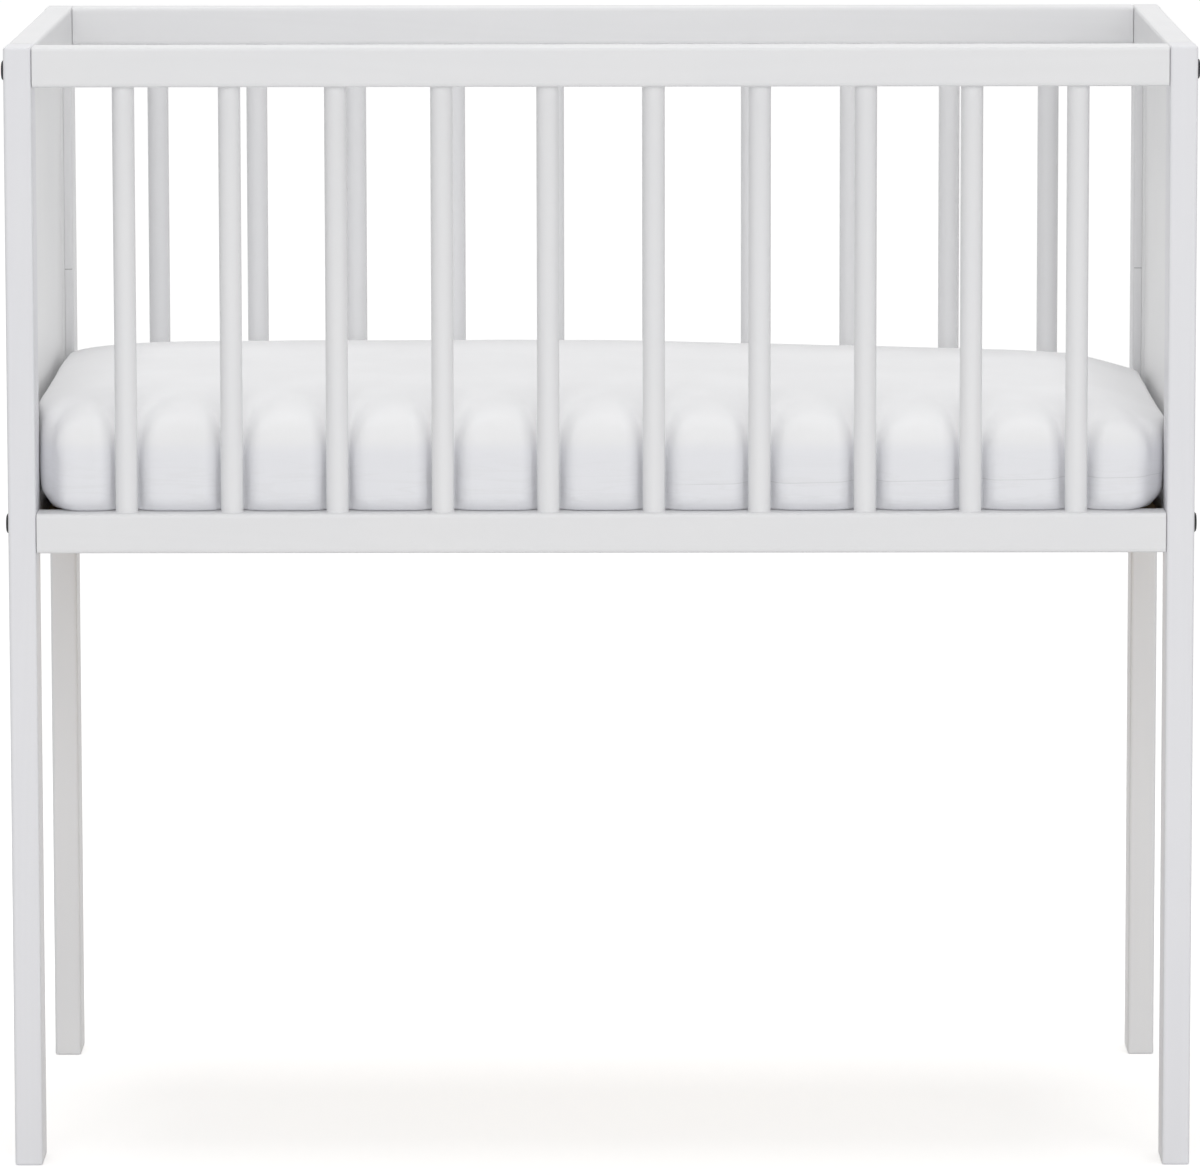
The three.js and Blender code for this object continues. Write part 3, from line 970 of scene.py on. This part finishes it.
@dataclass
class Slats:
    """The round slats of both long sides, glued into the rails and painted over."""

    segments: int = 40
    end_chamfer: float = 0.8 * MM
    fillet: float = 0.55 * MM
    fillet_rise: float = 0.7 * MM
    fillet_depth: float = 0.4 * MM
    lip: float = 0.02 * MM
    waist_share: float = 0.25
    waist_height_share: float = 0.5
    roughness: float = 0.38
    softening: float = 0.3 * MM

    def half(self, end: float, face: float, radius: float, way: float) -> list[Span]:
        """Profile of one half, with the fillet that the paint leaves where it meets the rail.

        Args:
            end: Height of its end.
            face: Height of the rail face that it passes through.
            radius: Its radius.
            way: 1 for the lower half, -1 for the upper.

        Returns:
            Radius and height of each ring, from the end inwards.
        """
        return [
            (radius - self.end_chamfer, end), (radius, end + way * self.end_chamfer),
            (radius, face - way * self.fillet_depth), (radius + self.fillet, face + way * self.lip),
            (
                radius + self.fillet * self.waist_share,
                face + way * self.fillet_rise * self.waist_height_share,
            ),
            (radius, face + way * self.fillet_rise),
        ]

    def build(self) -> None:
        """Makes one slat and sets a copy in the place of each solid."""
        names = named("slat_")
        boxes = {name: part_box(name) for name in names}
        low, high = boxes[names[0]]
        radius = (high.y - low.y) / 2
        below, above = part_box("lower_rail_front")[1].z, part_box("top_rail_front")[0].z
        profile = self.half(low.z, below, radius, 1) + [(radius, (below + above) / 2)]
        profile += reversed(self.half(high.z, above, radius, -1))
        model = turned("round_slat", profile, self.segments)
        smooth(model, 40.0)
        places = {
            name: Matrix.Translation(((low.x + high.x) / 2, (low.y + high.y) / 2, 0.0))
            for name, (low, high) in boxes.items()
        }
        spread(model, "round", PaintedWood(
            "paint_slat", "white_paint", WHITE_PAINT, self.roughness, Axis.Z,
            softening=self.softening,
        ), places)
        LOG.info("%d round slats", len(names))


@dataclass
class Fixings:
    """The connector bolts through the posts and the barrel nuts in the long rails."""

    segments: int = 48
    bolt_radius: float = 3.0 * MM
    crown_radius: float = 4.3 * MM
    rim: float = 0.5 * MM
    head_gap: float = 0.3 * MM
    dome_steps: int = 6
    tip_chamfer: float = 0.8 * MM
    key_size: float = 4.0 * MM
    key_depth: float = 1.5 * MM
    nut_hole: float = 6.0 * MM
    hole_play: float = 0.3 * MM
    nut_slot: float = 1.4 * MM
    nut_slot_depth: float = 1.2 * MM
    nut_chamfer: float = 0.4 * MM
    softening: float = 0.12 * MM
    sharp: float = 40.0

    def bolt(self, length: float, head_radius: float, head_height: float) -> Piece:
        """A bolt along +Z with a domed head that has a hex socket.

        Args:
            length: From the crown to the tip.
            head_radius: Radius of the head.
            head_height: Height of the head.

        Returns:
            The bolt, with its crown at height 0.
        """
        profile = []
        for step in range(self.dome_steps + 1):
            angle = math.pi / 2 * step / self.dome_steps
            profile.append((
                self.crown_radius + (head_radius - self.crown_radius) * math.sin(angle),
                (head_height - self.rim) * (1 - math.cos(angle)),
            ))
        profile += [
            (head_radius, head_height), (self.bolt_radius, head_height),
            (self.bolt_radius, length - self.tip_chamfer),
            (self.bolt_radius - self.tip_chamfer, length),
        ]
        piece = turned("bolt", profile, self.segments)
        cut(piece, added(
            bpy.ops.mesh.primitive_cylinder_add, vertices=6, radius=self.key_size / math.sqrt(3),
            depth=2 * self.key_depth, location=(0.0, 0.0, 0.0),
        ))
        soften(piece, self.softening, self.sharp)
        return piece

    def nut(self, radius: float, length: float) -> Piece:
        """A barrel nut along Z with its cross hole along X and its slot facing down.

        Args:
            radius: Its radius.
            length: Its length.

        Returns:
            The nut, with its middle at the origin.
        """
        half = length / 2
        piece = turned("barrel_nut", [
            (radius - self.nut_chamfer, -half), (radius, self.nut_chamfer - half),
            (radius, half - self.nut_chamfer), (radius - self.nut_chamfer, half),
        ], self.segments)
        cut(piece, added(
            bpy.ops.mesh.primitive_cylinder_add, vertices=self.segments,
            radius=self.nut_hole / 2 + self.hole_play, depth=4 * radius,
            rotation=(0.0, math.pi / 2, 0.0),
        ))
        slot = added(bpy.ops.mesh.primitive_cube_add, size=1.0, location=(0.0, 0.0, -half))
        slot.scale = (4 * radius, self.nut_slot, 2 * self.nut_slot_depth)
        cut(piece, slot)
        soften(piece, self.softening, self.sharp)
        return piece

    @staticmethod
    def bolt_place(node: str) -> Matrix:
        """Where a bolt goes: its crown outermost, its tip towards the middle of the cradle.

        Args:
            node: The solid that it stands for.

        Returns:
            The move from the model's place.
        """
        low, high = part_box(node)
        middle = (low + high) / 2
        crown, turn = (low.x, math.pi / 2) if "_left_" in node else (high.x, -math.pi / 2)
        return Matrix.Translation((crown, middle.y, middle.z)) @ Matrix.Rotation(turn, 4, "Y")

    def build(self) -> None:
        """Makes one bolt and one nut and sets copies in the places of the solids."""
        bolts, nuts = named("bolt_"), named("barrel_nut_")
        low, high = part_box(bolts[0])
        head_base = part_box("post_front_left")[0].x - self.head_gap
        head_height = head_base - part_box("bolt_front_left_upper")[0].x
        bolt = self.bolt(high.x - low.x, (high.z - low.z) / 2, head_height)
        black = Steel("black_oxide", "black_steel", BLACK_STEEL, 0.42, metallic=0.5, rubbed=0.18)
        spread(bolt, "domed", black, {name: self.bolt_place(name) for name in bolts})
        boxes = {name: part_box(name) for name in nuts}
        low, high = boxes[nuts[0]]
        nut = self.nut((high.x - low.x) / 2, high.z - low.z)
        places = {name: Matrix.Translation((low + high) / 2) for name, (low, high) in boxes.items()}
        spread(nut, "plated", Steel("zinc_plate", "zinc_steel", ZINC, 0.34), places)
        LOG.info("%d bolts and %d barrel nuts", len(bolts), len(nuts))


def eased(value: np.ndarray, low: float | np.ndarray, high: float | np.ndarray) -> np.ndarray:
    """Maps values smoothly from 0 at low to 1 at high."""
    share = np.clip((value - low) / (high - low), 0.0, 1.0)
    return share * share * (3 - 2 * share)


def read(items: bpy.types.bpy_prop_collection, name: str, width: int = 3,
         kind: type = float) -> np.ndarray:
    """Reads an attribute of all vertices, corners or faces of a mesh.

    Args:
        items: The vertices, corners or faces.
        name: The attribute.
        width: How many numbers it has.
        kind: What sort of number.

    Returns:
        One row for each item, or one number where the width is 1.
    """
    flat = np.zeros(len(items) * width, kind)
    items.foreach_get(name, flat)
    return flat.reshape(-1, width) if width > 1 else flat


@dataclass(frozen=True)
class Level:
    """One level of the mattress: how high it lies and how far in its outline is drawn.

    Attributes:
        rise: Height above the lower rails' top, as a share of the mattress's rise.
        side: Inset from the slats.
        end: Inset from the ends.
        corner: Corner radius.
    """

    rise: float
    side: float
    end: float
    corner: float


@dataclass
class Mattress:
    """A soft mattress in a fitted sheet, squeezed between the slats.

    Heights are taken from the top of the lower rails.

    Attributes:
        rise: Height of the crown.
        end_space: Room at the posts' inner faces, behind which the solid panels lie by panel_recess.
        clearance: Least gap to the wood, and rest_gap the one to the rails that it lies on.
        settle: How far it falls towards the right, and settle_power how late.
        settle_hold: Share of that fall that its front edge is spared.
        end_drop: How far its right end falls besides.
        slumps: How far its rear corners sink, left and right, over slump_reach.
        bulge: How far a pillow stands out between two slats, and bulge_foot its share at the rail.
        foot_height: Up to what height that share grows.
        contact: Distance from a slat's axis at which a pillow starts, and flank the width over which
            it swells, wider by flank_spread at the rail and fuller by flank_power.
        post_stop: Where along X a post holds the cloth back as a slat does.
        arch_foot: Height of the arched crease at a slat, and arch_rise how much higher it is amid the
            bay. The pillow ends below it over arch_fall.
        crease: Depth of that crease, and crease_reach how far it spreads up and down.
        pressed: How far from the middle the swelling starts at the rail, and pressed_fade over what
            width. Up pressed_heights it starts nearer the middle by pressed_lift and takes fade_lift
            more.
        turning: Heights over which a pillow's swelling turns from level to its surface's normal.
        end_push: How far the ends swell into the panels' recess, over the last end_reach along X and
            up end_heights. Beside the posts, over post_fade before their faces, they lose end_hold
            of it.
        slow_scale, fine_scale, rough: How close the slow and the fine unevenness lie, and how strong
            the two are. They grow up to rough_share of the rise.
        top_weight: How much sooner the cloth's map is laid on a face from above than from a side.
        bay_steps: Where points lie in each half of a bay, as shares of it.
        knee: How far from the middle the rings' points keep their places along X.
        side_pitch, top_pitch: Distance of the rings on the sides and on the flat, and end_pitch that
            of the points on an end, with corner_steps of them in a corner.
        levels: Its outline, from the underside to the crown, in millimetres in the list.
        station_corner: Corner radius that the points along a side are first laid out for.
    """

    node: str = "mattress"
    body: str = "mattress"
    rise: float = 86 * MM
    end_space: float = 0.25 * MM
    panel_recess: float = 3 * MM
    clearance: float = 0.25 * MM
    rest_gap: float = 0.12 * MM
    settle: float = 10.5 * MM
    settle_power: float = 1.15
    settle_hold: float = 0.3
    end_drop: float = 6 * MM
    slumps: Span = (4 * MM, 9 * MM)
    slump_reach: float = 58 * MM
    bulge: float = 12 * MM
    bulge_foot: float = 0.55
    foot_height: float = 9 * MM
    contact: float = 9.2 * MM
    flank: float = 12 * MM
    flank_spread: float = 0.4
    flank_power: float = 2.0
    post_stop: float = 404 * MM
    arch_foot: float = 54 * MM
    arch_rise: float = 29 * MM
    arch_fall: float = 25 * MM
    crease: float = 1.2 * MM
    crease_reach: float = 4.5 * MM
    pressed: float = 198.5 * MM
    pressed_lift: float = 42 * MM
    pressed_fade: float = 7 * MM
    fade_lift: float = 18 * MM
    pressed_heights: Span = (3 * MM, 12 * MM)
    turning: Span = (30 * MM, 55 * MM)
    end_push: float = 3.7 * MM
    end_hold: float = 0.85
    end_reach: float = 12 * MM
    end_heights: Span = (10 * MM, 36 * MM)
    post_fade: Span = (30 * MM, 2 * MM)
    slow_scale: float = 9.0
    fine_scale: Place = (26.0, 26.0, 55.0)
    rough: Span = (1.1 * MM, 0.3 * MM)
    rough_share: float = 0.4
    top_weight: float = 1.4
    bay_steps: tuple[float, ...] = (
        0.0, 0.1, 0.17, 0.21, 0.25, 0.29, 0.33, 0.37, 0.42, 0.48, 0.56, 0.66, 0.77, 0.88,
    )
    knee: float = 300 * MM
    side_pitch: float = 2.6 * MM
    top_pitch: float = 9 * MM
    end_pitch: float = 5 * MM
    corner_steps: int = 8
    levels: tuple[Level, ...] = tuple(
        Level(rise_share, side * MM, end * MM, corner * MM) for rise_share, side, end, corner in (
            (-0.115, 210, 206, 0), (-0.115, 110, 120, 40), (-0.115, 26, 40, 24),
            (-0.104, 13, 26, 20), (-0.06, 8, 20, 19), (-0.012, 7.4, 14, 20),
            (0.003, 6, 12, 20), (0.0045, 0.6, 11, 20), (0.02, 0, 9, 20), (0.12, 0, 2.6, 21),
            (0.2, 0, 0.4, 22), (0.47, 0.2, 0, 22), (0.655, 4.6, 0, 21), (0.8, 14, 0.1, 18),
            (0.885, 24, 3.5, 22), (0.94, 37, 17, 32), (0.97, 49, 38, 42), (0.99, 66, 64, 48),
            (1.0, 110, 120, 60), (1.0, 160, 170, 30), (1.0, 210, 206, 0),
        )
    )
    station_corner: float = 21 * MM

    def __post_init__(self) -> None:
        """Reads from the frame what the mattress lies between."""
        self.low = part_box(self.node)[0].z
        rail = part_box("lower_rail_front")[1]
        self.rail_top, self.rail_face = rail.z, -rail.y
        self.top_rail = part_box("top_rail_front")[0].z
        boxes = [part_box(name) for name in named("slat_front_")]
        self.slats = np.array([(low.x + high.x) / 2 for low, high in boxes])
        self.pitch = self.slats[1] - self.slats[0]
        low, high = boxes[0]
        self.slat_line = -(low.y + high.y) / 2
        self.slat_radius = (high.y - low.y) / 2
        self.slat_face = self.slat_line - self.slat_radius - self.clearance
        self.end_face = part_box("end_panel_right")[0].x
        self.post_face = -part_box("post_front_right")[1].y
        self.half_length = self.end_face - self.panel_recess - self.end_space

    def between(self) -> list[Level]:
        """The levels with soft curves drawn through them.

        Returns:
            Levels from the underside to the crown, close together on the sides.
        """
        flat_run = 6
        table = np.array([(v.rise, v.side, v.end, v.corner) for v in self.levels])
        padded = np.vstack([2 * table[0] - table[1], table, 2 * table[-1] - table[-2]])
        rows = []
        for index in range(1, len(padded) - 2):
            before, start, stop, after = padded[index - 1:index + 3]
            rise, run = abs(stop[0] - start[0]) * self.rise, abs(stop[1] - start[1])
            pitch = self.top_pitch if rise < run / flat_run else self.side_pitch
            steps = max(1, round(math.hypot(rise, run) / pitch))
            for t in (step / steps for step in range(steps)):
                row = 0.5 * (
                    2 * start + (stop - before) * t
                    + (2 * before - 5 * start + 4 * stop - after) * t ** 2
                    + (3 * start - before - 3 * stop + after) * t ** 3
                )
                rows.append(np.clip(row, np.minimum(start, stop), np.maximum(start, stop)))
        rows.append(table[-1])
        return [Level(*row) for row in rows]

    def stations(self) -> np.ndarray:
        """Places along a side, close together beside each slat.

        Returns:
            Their X, from the left end of the straight part to its right end.
        """
        bays = np.concatenate([self.slats - self.pitch, self.slats[-1:]])
        half = np.array(self.bay_steps) / 2
        steps = np.concatenate([half, [0.5], 1 - half[:0:-1]])
        places = (bays[:, None] + steps[None, :] * self.pitch).ravel()
        reach = self.half_length - self.station_corner
        inner = places[np.abs(places) < reach - 1 * MM]
        return np.concatenate([[-reach], inner, [reach]])

    def ring(self, level: Level, stations: np.ndarray) -> np.ndarray:
        """One closed ring of the mattress.

        Args:
            level: Its level.
            stations: Places along the sides.

        Returns:
            Points, counterclockwise from above.
        """
        corner_share, knee_share = 0.9, 0.8
        half_width = max(self.slat_face - level.side, 0.0)
        half_length = self.half_length - level.end
        corner = min(level.corner, half_width * corner_share)
        reach = half_length - corner
        knee = min(self.knee, knee_share * reach)
        beyond = np.maximum(np.abs(stations) - knee, 0.0)
        squeezed = np.minimum(np.abs(stations), knee) + beyond * (reach - knee) / (
            stations[-1] - knee
        )
        ends = round(2 * self.slat_face / self.end_pitch)
        angles = np.linspace(0, math.pi / 2, self.corner_steps + 2)[1:-1]
        inward, outward = corner * np.cos(angles), corner * np.sin(angles)
        half = np.vstack([
            np.column_stack([
                np.sign(stations) * squeezed, np.full(len(stations), -half_width),
            ]),
            np.column_stack([reach + outward, corner - half_width - inward]),
            np.column_stack([
                np.full(ends, half_length), np.linspace(-1, 1, ends) * (half_width - corner),
            ]),
            np.column_stack([reach + inward, half_width - corner + outward]),
        ])
        flat = np.vstack([half, -half])
        height = self.rail_top + level.rise * self.rise
        return np.column_stack([flat, np.full(len(flat), height)])

    def shell(self) -> Piece:
        """The mattress before it is worked: rings from the underside to the crown.

        The first and last ring are drawn in to a line, whose two sides merge when it is closed.

        Returns:
            The mattress, still open along those two lines.
        """
        stations = self.stations()
        rings = [self.ring(level, stations) for level in self.between()]
        count = len(rings[0])
        faces = [
            (row * count + i, row * count + (i + 1) % count,
             (row + 1) * count + (i + 1) % count, (row + 1) * count + i)
            for row in range(len(rings) - 1) for i in range(count)
        ]
        mesh = bpy.data.meshes.new("sheeted_mattress")
        mesh.from_pydata(np.vstack(rings).tolist(), [], faces)
        piece = bpy.data.objects.new("sheeted_mattress", mesh)
        bpy.context.collection.objects.link(piece)
        return piece

    def pillow(self, away: np.ndarray, height: np.ndarray) -> np.ndarray:
        """How full the pillows between the slats are.

        Args:
            away: Distance along X from the nearest slat or post.
            height: Height of each point.

        Returns:
            Shares of the bulge.
        """
        standing = eased(height, 0.0, self.foot_height)
        flank = self.flank * (1 + self.flank_spread - self.flank_spread * standing)
        share = np.clip((away - self.contact) / flank, 0.0, 1.0)
        full = 1 - (1 - share) ** self.flank_power
        return full * (self.bulge_foot + (1 - self.bulge_foot) * standing)

    def press(self, points: np.ndarray, normals: np.ndarray) -> np.ndarray:
        """Lets the mattress stand out between the slats, under an arched crease.

        Args:
            points: Its points.
            normals: The normal at each of them.

        Returns:
            The points, moved.
        """
        x, y, z = points.T
        stops = np.concatenate([self.slats, [-self.post_stop, self.post_stop]])
        away = np.abs(x[:, None] - stops[None, :]).min(axis=1)
        height = z - self.rail_top
        bay = np.clip((away - self.slat_radius) / (self.pitch / 2 - self.slat_radius), 0.0, 1.0)
        arch = self.arch_foot + self.arch_rise * np.sqrt(1 - (1 - bay) ** 2)
        under = 1 - eased(height, arch - self.arch_fall, arch)
        raised = eased(height, *self.pressed_heights)
        inner = self.pressed - self.pressed_lift * raised
        side = eased(np.abs(y), inner, inner + self.pressed_fade + self.fade_lift * raised)
        over_rail = (height > 0.1 * MM).astype(float)
        fold = np.exp(-(((height - arch) / self.crease_reach) ** 2)) * np.sqrt(bay)
        move = self.bulge * self.pillow(away, height) * under * side * over_rail
        move -= self.crease * fold * side
        level = np.column_stack([np.zeros(len(y)), np.where(y < 0, -1.0, 1.0), np.zeros(len(y))])
        lift = eased(height, *self.turning)[:, None]
        way = level * (1 - lift) + normals * lift
        way /= np.linalg.norm(way, axis=1)[:, None]
        moved = points + way * move[:, None]
        free = 1 - self.end_hold * eased(np.abs(y), *(self.post_face - d for d in self.post_fade))
        at_end = eased(np.abs(x), self.half_length - self.end_reach, self.half_length)
        push = self.end_push * free * at_end * eased(height, *self.end_heights)
        moved[:, 0] += np.sign(x) * push
        return moved

    def slack(self, points: np.ndarray, normals: np.ndarray) -> np.ndarray:
        """Adds the small unevenness of a filled, covered thing, and lets its right end settle.

        Args:
            points: Its points.
            normals: The normal at each of them.

        Returns:
            The points, moved.
        """
        slow = np.array([noise.noise(Vector(p) * self.slow_scale) for p in points])
        fine = np.array([noise.noise(Vector(p)) for p in points * self.fine_scale])
        height = points[:, 2] - self.rail_top
        upper = eased(height, 0.0, self.rough_share * self.rise)
        move = (self.rough[0] * slow + self.rough[1] * fine) * upper
        points = points + normals * move[:, None]
        x, y = points[:, 0], points[:, 1]
        fall = self.settle * np.clip(x / self.end_face, 0.0, 1.0) ** self.settle_power
        fall *= 1 - self.settle_hold * eased(-y, 0.0, self.slat_face)
        ends = {side: eased(side * x, self.end_face - self.slump_reach, self.end_face)
                for side in (-1, 1)}
        fall += self.end_drop * ends[1]
        rear = eased(y, self.slat_face - self.slump_reach, self.slat_face)
        for end, slump in zip(ends.values(), self.slumps):
            fall += slump * end * rear
        points[:, 2] -= fall * np.clip(height / self.rise, 0.0, 1.0)
        return points

    def kept_in(self, points: np.ndarray) -> np.ndarray:
        """Keeps points clear of the slats, posts, rails, panels and base.

        Args:
            points: The points of the mattress.

        Returns:
            The points, moved where they reached into wood.
        """
        points = points.copy()
        x, y, z = points.T
        end = self.end_face - self.clearance
        x[:] = np.clip(x, -end, end)
        at_post = np.abs(y) > self.post_face - self.clearance
        stop = self.end_face - self.panel_recess - self.clearance
        x[at_post] = np.clip(x[at_post], -stop, stop)
        z[:] = np.maximum(z, self.low)
        reach = self.slat_radius + self.clearance
        for slat in self.slats:
            for side in (-1, 1):
                dx, dy = x - slat, y - side * self.slat_line
                reached = (np.hypot(dx, dy) < reach) | (side * dy > 0)
                hit = (np.abs(dx) < reach) & reached & (z < self.top_rail)
                depth = np.sqrt(np.maximum(reach ** 2 - dx[hit] ** 2, 0.0))
                y[hit] = side * (self.slat_line - depth)
        rail = self.rail_face - self.clearance
        floor = self.rail_top + self.rest_gap
        over = (z < floor) & (np.abs(y) > rail)
        deep = over & (z < self.rail_top - 1 * MM)
        y[deep] = np.sign(y[deep]) * rail
        z[over & ~deep] = floor
        return points

    def work(self, mesh: bpy.types.Mesh) -> None:
        """Gives the mattress its bulges, creases and slack, clear of the wood.

        Args:
            mesh: The mattress's mesh.
        """
        for shape in (self.press, self.slack):
            points = shape(read(mesh.vertices, "co"), read(mesh.vertices, "normal"))
            mesh.vertices.foreach_set("co", self.kept_in(points).ravel())
            mesh.update()

    def unwrap(self, mesh: bpy.types.Mesh) -> None:
        """Lays a UV map in metres over the mattress, along whichever way each face looks.

        Args:
            mesh: The mattress's mesh.
        """
        layer = mesh.uv_layers.new(name="cloth")
        facing = np.abs(read(mesh.polygons, "normal")) * (1.0, 1.0, self.top_weight)
        main = np.repeat(facing.argmax(axis=1), read(mesh.polygons, "loop_total", 1, int))
        place = read(mesh.vertices, "co")[read(mesh.loops, "vertex_index", 1, int)]
        choices = (place[:, [1, 2]], place[:, [0, 2]], place[:, [0, 1]])
        layer.data.foreach_set("uv", np.choose(main[:, None], choices).ravel())

    def build(self) -> None:
        """Makes the mattress and sets it in the place of its solid."""
        hem = Hem(level=494 * MM, fall=0.0155, start=45 * MM)
        finish = Cotton("fitted_sheet", "white_cotton", WHITE_COTTON, 0.9, hem)
        piece = self.shell()
        edit(piece)
        close(piece)
        self.work(piece.data)
        self.unwrap(piece.data)
        smooth(piece, 80.0)
        dress(piece, finish.build())
        hand_over(piece, self.node, self.body)
        LOG.info("mattress of %d faces", len(piece.data.polygons))


@dataclass(frozen=True)
class Lamp:
    """A square soft lamp: its name, where it hangs, the length of its side and its watts."""

    name: str
    place: Place
    size: float
    power: float

    def hang(self, aim: Place) -> None:
        """Adds the lamp to the scene.

        Args:
            aim: The point that it faces.
        """
        data = bpy.data.lights.new(self.name, "AREA")
        data.size, data.energy = self.size, self.power
        lamp = bpy.data.objects.new(self.name, data)
        bpy.context.collection.objects.link(lamp)
        lamp.location = self.place
        lamp.rotation_euler = (Vector(aim) - Vector(self.place)).to_track_quat("-Z", "Y").to_euler()


@dataclass
class Studio:
    """A pale floor, soft lights and the camera, whose angles are in degrees."""

    location: Place = (25.3 * MM, -6090.5 * MM, 1225.0 * MM)
    pitch: float = 7.803
    yaw: float = 0.256
    roll: float = -0.094
    lens: float = 247.47
    far: float = 200.0
    middle: Place = (0.0, 0.0, 0.5)
    lamps: tuple[Lamp, ...] = (
        Lamp("front_light", (-1.12, -7.04, 2.42), 4.2, 110.0),
        Lamp("fill_light", (2.72, -6.72, 2.1), 4.2, 101.0),
        Lamp("top_light", (0.0, 0.3, 3.8), 2.6, 52.0),
    )
    ambient: float = 0.45
    floor_size: float = 60.0
    floor_colour: Colour = (0.82, 0.82, 0.82)
    glow: Span = (0.5, 0.65)
    glow_reach: Span = (1.5, 6.0)

    def camera(self) -> None:
        """Sets up the camera."""
        data = bpy.data.cameras.new("camera")
        data.lens, data.clip_end = self.lens, self.far
        camera = bpy.data.objects.new("camera", data)
        bpy.context.collection.objects.link(camera)
        turns = ((self.yaw, "Z"), (90 - self.pitch, "X"), (self.roll, "Z"))
        matrix = Matrix.Translation(self.location)
        for angle, axis in turns:
            matrix = matrix @ Matrix.Rotation(math.radians(angle), 4, axis)
        camera.matrix_world = matrix
        bpy.context.scene.camera = camera

    @staticmethod
    def seen_mix(graph: Graph, hidden: Socket, seen: Socket) -> Socket:
        """Mixes two shaders by whether a ray shows the background.

        Args:
            graph: The graph.
            hidden: The shader for rays that light the object.
            seen: The shader for camera, glossy and transmission rays.

        Returns:
            The mix.
        """
        rays = graph.add("ShaderNodeLightPath").outputs
        share = graph.math("MAXIMUM", rays["Is Camera Ray"], rays["Is Glossy Ray"])
        share = graph.math("MAXIMUM", share, rays["Is Transmission Ray"])
        return graph.add("ShaderNodeMixShader", {0: share, 1: hidden, 2: seen}).outputs[0]

    def world(self) -> None:
        """Lights the scene softly from all round, before a white background."""
        world = bpy.context.scene.world or bpy.data.worlds.new("world")
        bpy.context.scene.world = world
        world.use_nodes = True
        graph = Graph(world.node_tree)
        graph.tree.nodes.clear()
        light, seen = (
            graph.add("ShaderNodeBackground", {"Color": WHITE, "Strength": strength}).outputs[0]
            for strength in (self.ambient, 1.0)
        )
        graph.add("ShaderNodeOutputWorld", {0: self.seen_mix(graph, light, seen)})

    def floor(self) -> None:
        """Lays a pale floor that is white to the camera but for the object's shadow."""
        floor = added(bpy.ops.mesh.primitive_plane_add, size=self.floor_size)
        floor.name = "floor"
        material = bpy.data.materials.new("pale_floor")
        material.use_nodes = True
        graph = Graph(material.node_tree)
        graph.tree.nodes.clear()
        matt = graph.add("ShaderNodeBsdfDiffuse", {"Color": (*self.floor_colour, 1.0)}).outputs[0]
        place = graph.add("ShaderNodeTexCoord").outputs["Object"]
        away = graph.add("ShaderNodeVectorMath", {0: place}, operation="LENGTH").outputs["Value"]
        near_glow, far_glow = self.glow
        strength = graph.math(
            "MULTIPLY_ADD", graph.ramp(away, *self.glow_reach), far_glow - near_glow, near_glow
        )
        glow = graph.add("ShaderNodeEmission", {"Color": WHITE, "Strength": strength}).outputs[0]
        lifted = graph.add("ShaderNodeAddShader", {0: matt, 1: glow}).outputs[0]
        graph.add("ShaderNodeOutputMaterial", {0: self.seen_mix(graph, matt, lifted)})
        dress(floor, material)

    def build(self) -> None:
        """Builds the studio."""
        bpy.context.scene.view_settings.view_transform = "Standard"
        self.camera()
        self.world()
        self.floor()
        for lamp in self.lamps:
            lamp.hang(self.middle)
        LOG.info("studio ready")


def write_sizes() -> None:
    """Updates the view layer."""
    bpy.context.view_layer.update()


def main() -> None:
    """Builds the studio and dresses the cradle, part by part."""
    logging.basicConfig(level=logging.INFO, format="%(name)s: %(message)s")
    Studio().build()
    Woodwork().clothe()
    EndPanels().build()
    Slats().build()
    Fixings().build()
    Mattress().build()
    write_sizes()


if __name__ == "__main__":
    main()
